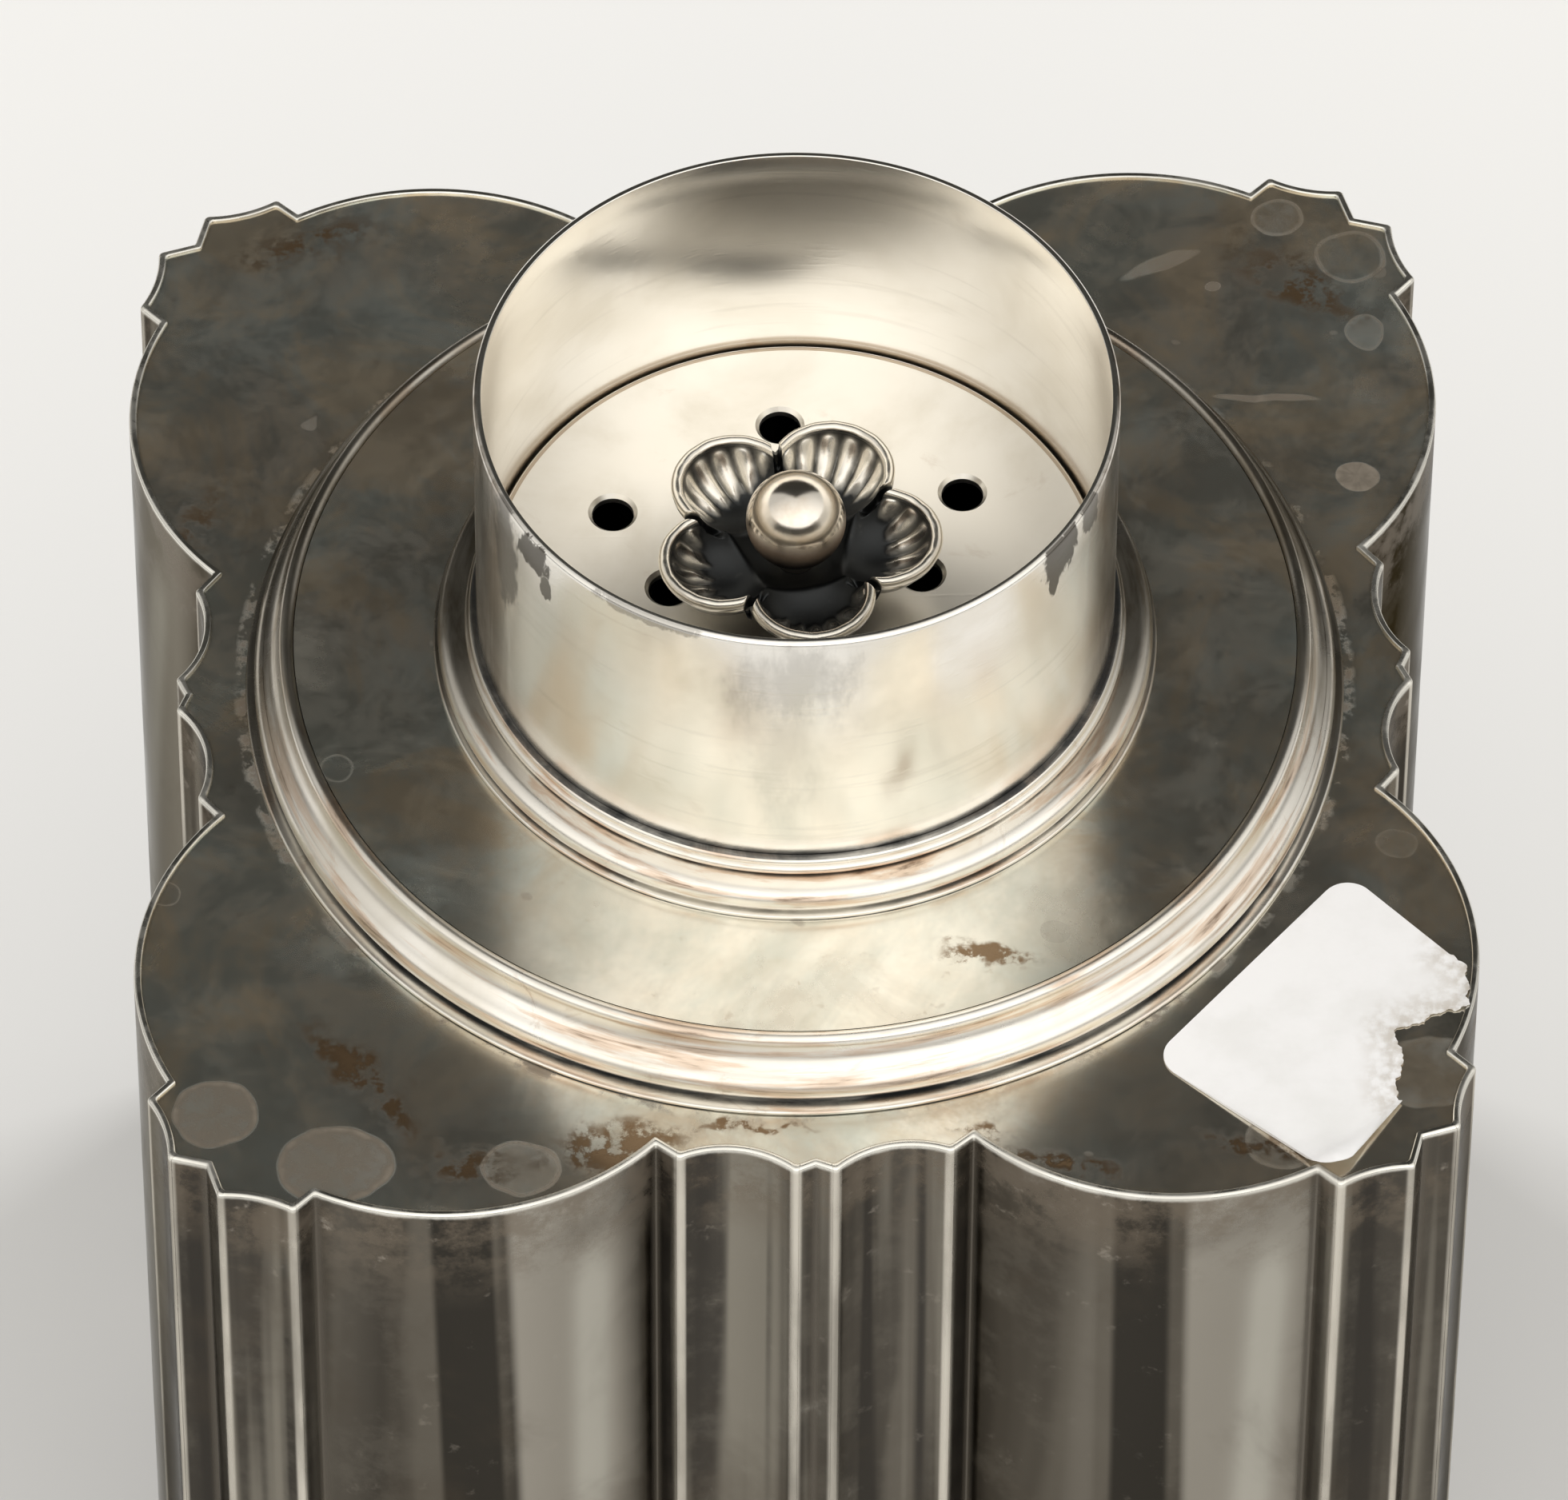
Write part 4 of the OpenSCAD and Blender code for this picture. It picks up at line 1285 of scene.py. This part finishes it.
def paper_height(p, scuff):
    """Height of the paper's top: curled at one corner, lifted at the wall's edge, fuzzy where it is torn."""
    curl = max(0.0, 1.0 - (p - Vector(CURLED_CORNER)).length / CURL_REACH)
    climb = max(0.0, (CLIMB_FROM - edge_gap(p)) / CLIMB_FROM)
    fuzz = noise.noise(Vector((p.x, p.y, 0)) * 1.3) * 0.10 + noise.noise(Vector((p.x, p.y, 5)) * 6) * 0.05
    return (PAPER_TOP + CLIMB * min(1.0, climb) + CURL_RISE * curl ** 1.6
            + abs(fuzz) * (0.15 + scuff * 1.3))


def boundary_of(faces):
    """Edges that only one face uses, in that face's direction."""
    used = {(a, b): True for face in faces for a, b in zip(face, face[1:] + face[:1])}
    return [(a, b) for a, b in used if (b, a) not in used]


def sticker_piece(material):
    """The sticker as a thin sheet of paper, from its outline and the points inside it."""
    clean, torn = sticker_outline()
    loop = clean + torn
    count = len(loop)
    edges = [(i, (i + 1) % count) for i in range(count)]
    mesh_points = loop + points_inside(loop, PAPER_STEP)
    points, _, faces, _, _, _ = geometry.delaunay_2d_cdt(mesh_points, edges, [list(range(count))], 1, 1e-5)
    scuffs = [max(0.0, 1.0 - min((p - q).length for q in torn) / SCUFF_REACH) for p in points]
    top = [(p.x, p.y, paper_height(p, scuff)) for p, scuff in zip(points, scuffs)]
    under = [(x, y, z - PAPER) for x, y, z in top]
    total = len(points)
    solid = [tuple(f) for f in faces] + [tuple(i + total for i in reversed(f)) for f in faces]
    solid += [(b, a, a + total, b + total) for a, b in boundary_of(faces)]
    return new_piece("torn_paper_sticker", top + under, solid, "caddy", None, material, (), 35,
                     {"scuff": scuffs + scuffs})


# ---------------------------------------------------------------- stage, light and camera
def build_stage(material):
    """Round pale table top, just under the object."""
    radius, height, segments = 2500.0, -0.02, 96
    turns = [2 * math.pi * s / segments for s in range(segments)]
    ring = [(radius * math.cos(turn), radius * math.sin(turn), height) for turn in turns]
    mesh = bpy.data.meshes.new("floor")
    mesh.from_pydata([tuple(c * MM for c in v) for v in ring], [], [list(range(segments))])
    mesh.materials.append(material)
    floor = bpy.data.objects.new("floor", mesh)
    bpy.context.scene.collection.objects.link(floor)


def area_lamp(name, place, aim, size, power):
    """A white rectangular lamp that shows in no reflection."""
    light = bpy.data.lights.new(name, "AREA")
    light.shape = "RECTANGLE"
    light.size, light.size_y = size
    light.energy = power
    lamp = bpy.data.objects.new(name, light)
    lamp.location = place
    lamp.rotation_euler = (Vector(aim) - Vector(place)).to_track_quat("-Z", "Y").to_euler()
    lamp.visible_camera = False
    lamp.visible_glossy = False
    bpy.context.scene.collection.objects.link(lamp)


def build_light():
    """A white canopy, brightest in front and open behind, and two soft lamps from behind."""
    open_dark, bright_white = rgb(0.034, 0.033, 0.029), rgb(1.36, 1.33, 1.27)
    world = bpy.data.worlds.new("studio")
    world.use_nodes = True
    bpy.context.scene.world = world
    n = Nodes(world.node_tree)
    background = next(node for node in world.node_tree.nodes if node.type == "BACKGROUND")
    side, back, rise = n.split(n.add("ShaderNodeTexCoord").outputs["Generated"])
    width = n.times(n.absolute(side), 0.72)
    within = n.minus(n.plus(n.times(rise, 0.2), width), back)
    canopy = n.times(n.ramp(within, -0.06, 0.08), n.ramp(rise, 0.0, 0.2))
    level = n.ramp(n.minus(back, n.times(side, 0.15)), -0.55, 0.35, 1.0, 0.42, smooth=False)
    bright = n.mix(level, rgb(0.0, 0.0, 0.0), bright_white)
    n.join(n.mix(canopy, open_dark, bright), background.inputs["Color"])
    background.inputs["Strength"].default_value = 1.0
    target, size = (0, 0, 0.09), (0.4, 0.4)
    area_lamp("left_back_lamp", (-0.75, 0.65, 0.85), target, size, 6.0)
    area_lamp("right_back_lamp", (0.8, 0.55, 0.85), target, size, 5.0)


def build_camera():
    """Long lens, 51 degrees above the horizon, a touch to the right of the front."""
    image_width, focal_pixels = 1961.0, 18996.8
    elevation, roll, yaw = math.radians(51.056), math.radians(0.347), math.radians(2.177)
    # Place from the middle of the shoulder, in neck radii
    distance, across, above = (k * NECK_R * MM for k in (47.920, -0.0329, -0.2176))
    back = Vector((0, -math.cos(elevation), math.sin(elevation)))
    right = Vector((1, 0, 0))
    up = back.cross(right)
    rolled_right = right * math.cos(roll) + up * math.sin(roll)
    rolled_up = up * math.cos(roll) - right * math.sin(roll)
    pose = Matrix((rolled_right, rolled_up, back)).transposed().to_4x4()
    pose.translation = back * distance + right * across + up * above
    data = bpy.data.cameras.new("camera")
    data.sensor_width = 36.0
    data.lens = focal_pixels / image_width * data.sensor_width
    data.clip_start, data.clip_end = 0.05, 20.0
    camera = bpy.data.objects.new("camera", data)
    camera.matrix_world = (Matrix.Translation((0, 0, SHOULDER * MM)) @ Matrix.Rotation(-yaw, 4, "Z") @ pose)
    bpy.context.scene.collection.objects.link(camera)
    bpy.context.scene.camera = camera


# ---------------------------------------------------------------- assembly
def dress_node(name, material):
    """Gives a CAD node that keeps its own mesh its material."""
    mesh = NODES[name].data
    mesh.materials.clear()
    mesh.materials.append(material)


def shelter_on(node, section, walls):
    """How much painted shade and grime each point of a turned section may take, with more of both in the
    undercut and against the neck.
    """
    undercut_shade_grime, neck_shade_grime = 0.9, 0.75
    shelter = shelter_of(section, walls)
    if node == "shoulder_moulding":
        shelter = [max(value, undercut_shade_grime) if z < 0.5 and r < FOOT_R - 0.2 else value
                   for value, (r, z) in zip(shelter, section)]
    if node == "neck_foot_ring":
        shelter = [max(value, neck_shade_grime) if r < NECK_R + 0.5 else value
                   for value, (r, _) in zip(shelter, section)]
    return shelter


tarnished = shoulder_metal("tarnished_shoulder")
cream = bright_metal("cream_silver", tint=(1.0, 0.975, 0.925), rough=(0.18, 0.28), browning=0.08, wavy=0.06,
                     marks=NECK_MARKS)
satin = bright_metal("satin_lid", rough=(0.30, 0.42), browning=0.15)
streaked = bright_metal("streaked_moulding", rough=(0.24, 0.38), browning=0.35, streaks=1.0)
polished = ball_metal("polished_ball")
dark = wall_metal("dark_wall")
oxide = oxidised_metal("oxidised_flower")
inside = bright_metal("hidden_silver", tint=(0.5, 0.46, 0.4), rough=(0.3, 0.45), browning=0.5)
browned = bright_metal("browned_edge", tint=(0.55, 0.46, 0.36), rough=(0.30, 0.45), browning=0.5)
paper = paper_material("label_paper")

for wall_name, wall_turn in (("wall_back_right", 0), ("wall_back_left", 90),
                             ("wall_front_left", 180), ("wall_front_right", 270)):
    wall_piece(wall_name, wall_turn, dark)
base_piece(dark)
shoulder_piece(tarnished)
sections = {
    "shoulder_moulding": (moulding_profile(), "bright_metal", streaked),
    "dished_ring": (dish_profile(), "shoulder_metal", tarnished),
    "neck_moulding": (neck_moulding_profile(), "bright_metal", streaked),
    "neck_foot_ring": (foot_ring_profile(), "bright_metal", streaked),
    "neck_collar": (collar_profile(), "bright_metal", cream),
}
plate_from, plate_to, plate_top = MOULD_IN - 2, 50.0, -0.01
plate_section = [(plate_from, -PLATE), (plate_to, -PLATE), (plate_to, plate_top), (plate_from, plate_top)]
walls = [section for section, _, _ in sections.values()] + [plate_section]
for node_name, (section, slot_name, node_material) in sections.items():
    lathe(node_name + "_turned", raised(section, SHOULDER), shelter=shelter_on(node_name, section, walls),
          body="caddy", slot=slot_name, material=node_material, replaces=(node_name,))
lathe("lid_edge_turned", raised(lid_edge_profile(), LID_TOP), body="inner_lid", slot="bright_metal",
      material=browned)
flower_piece(oxide)
ball_piece(polished)
sticker_piece(paper)
for node_name, node_material in (("lid_ledge", inside), ("inner_lid_plate", satin),
                                 ("inner_lid_skirt", satin), ("knob_post", inside), ("post_nut", inside)):
    dress_node(node_name, node_material)

build_stage(floor_material("pale_floor"))
build_light()
build_camera()
bpy.context.scene.view_settings.view_transform = "Standard"
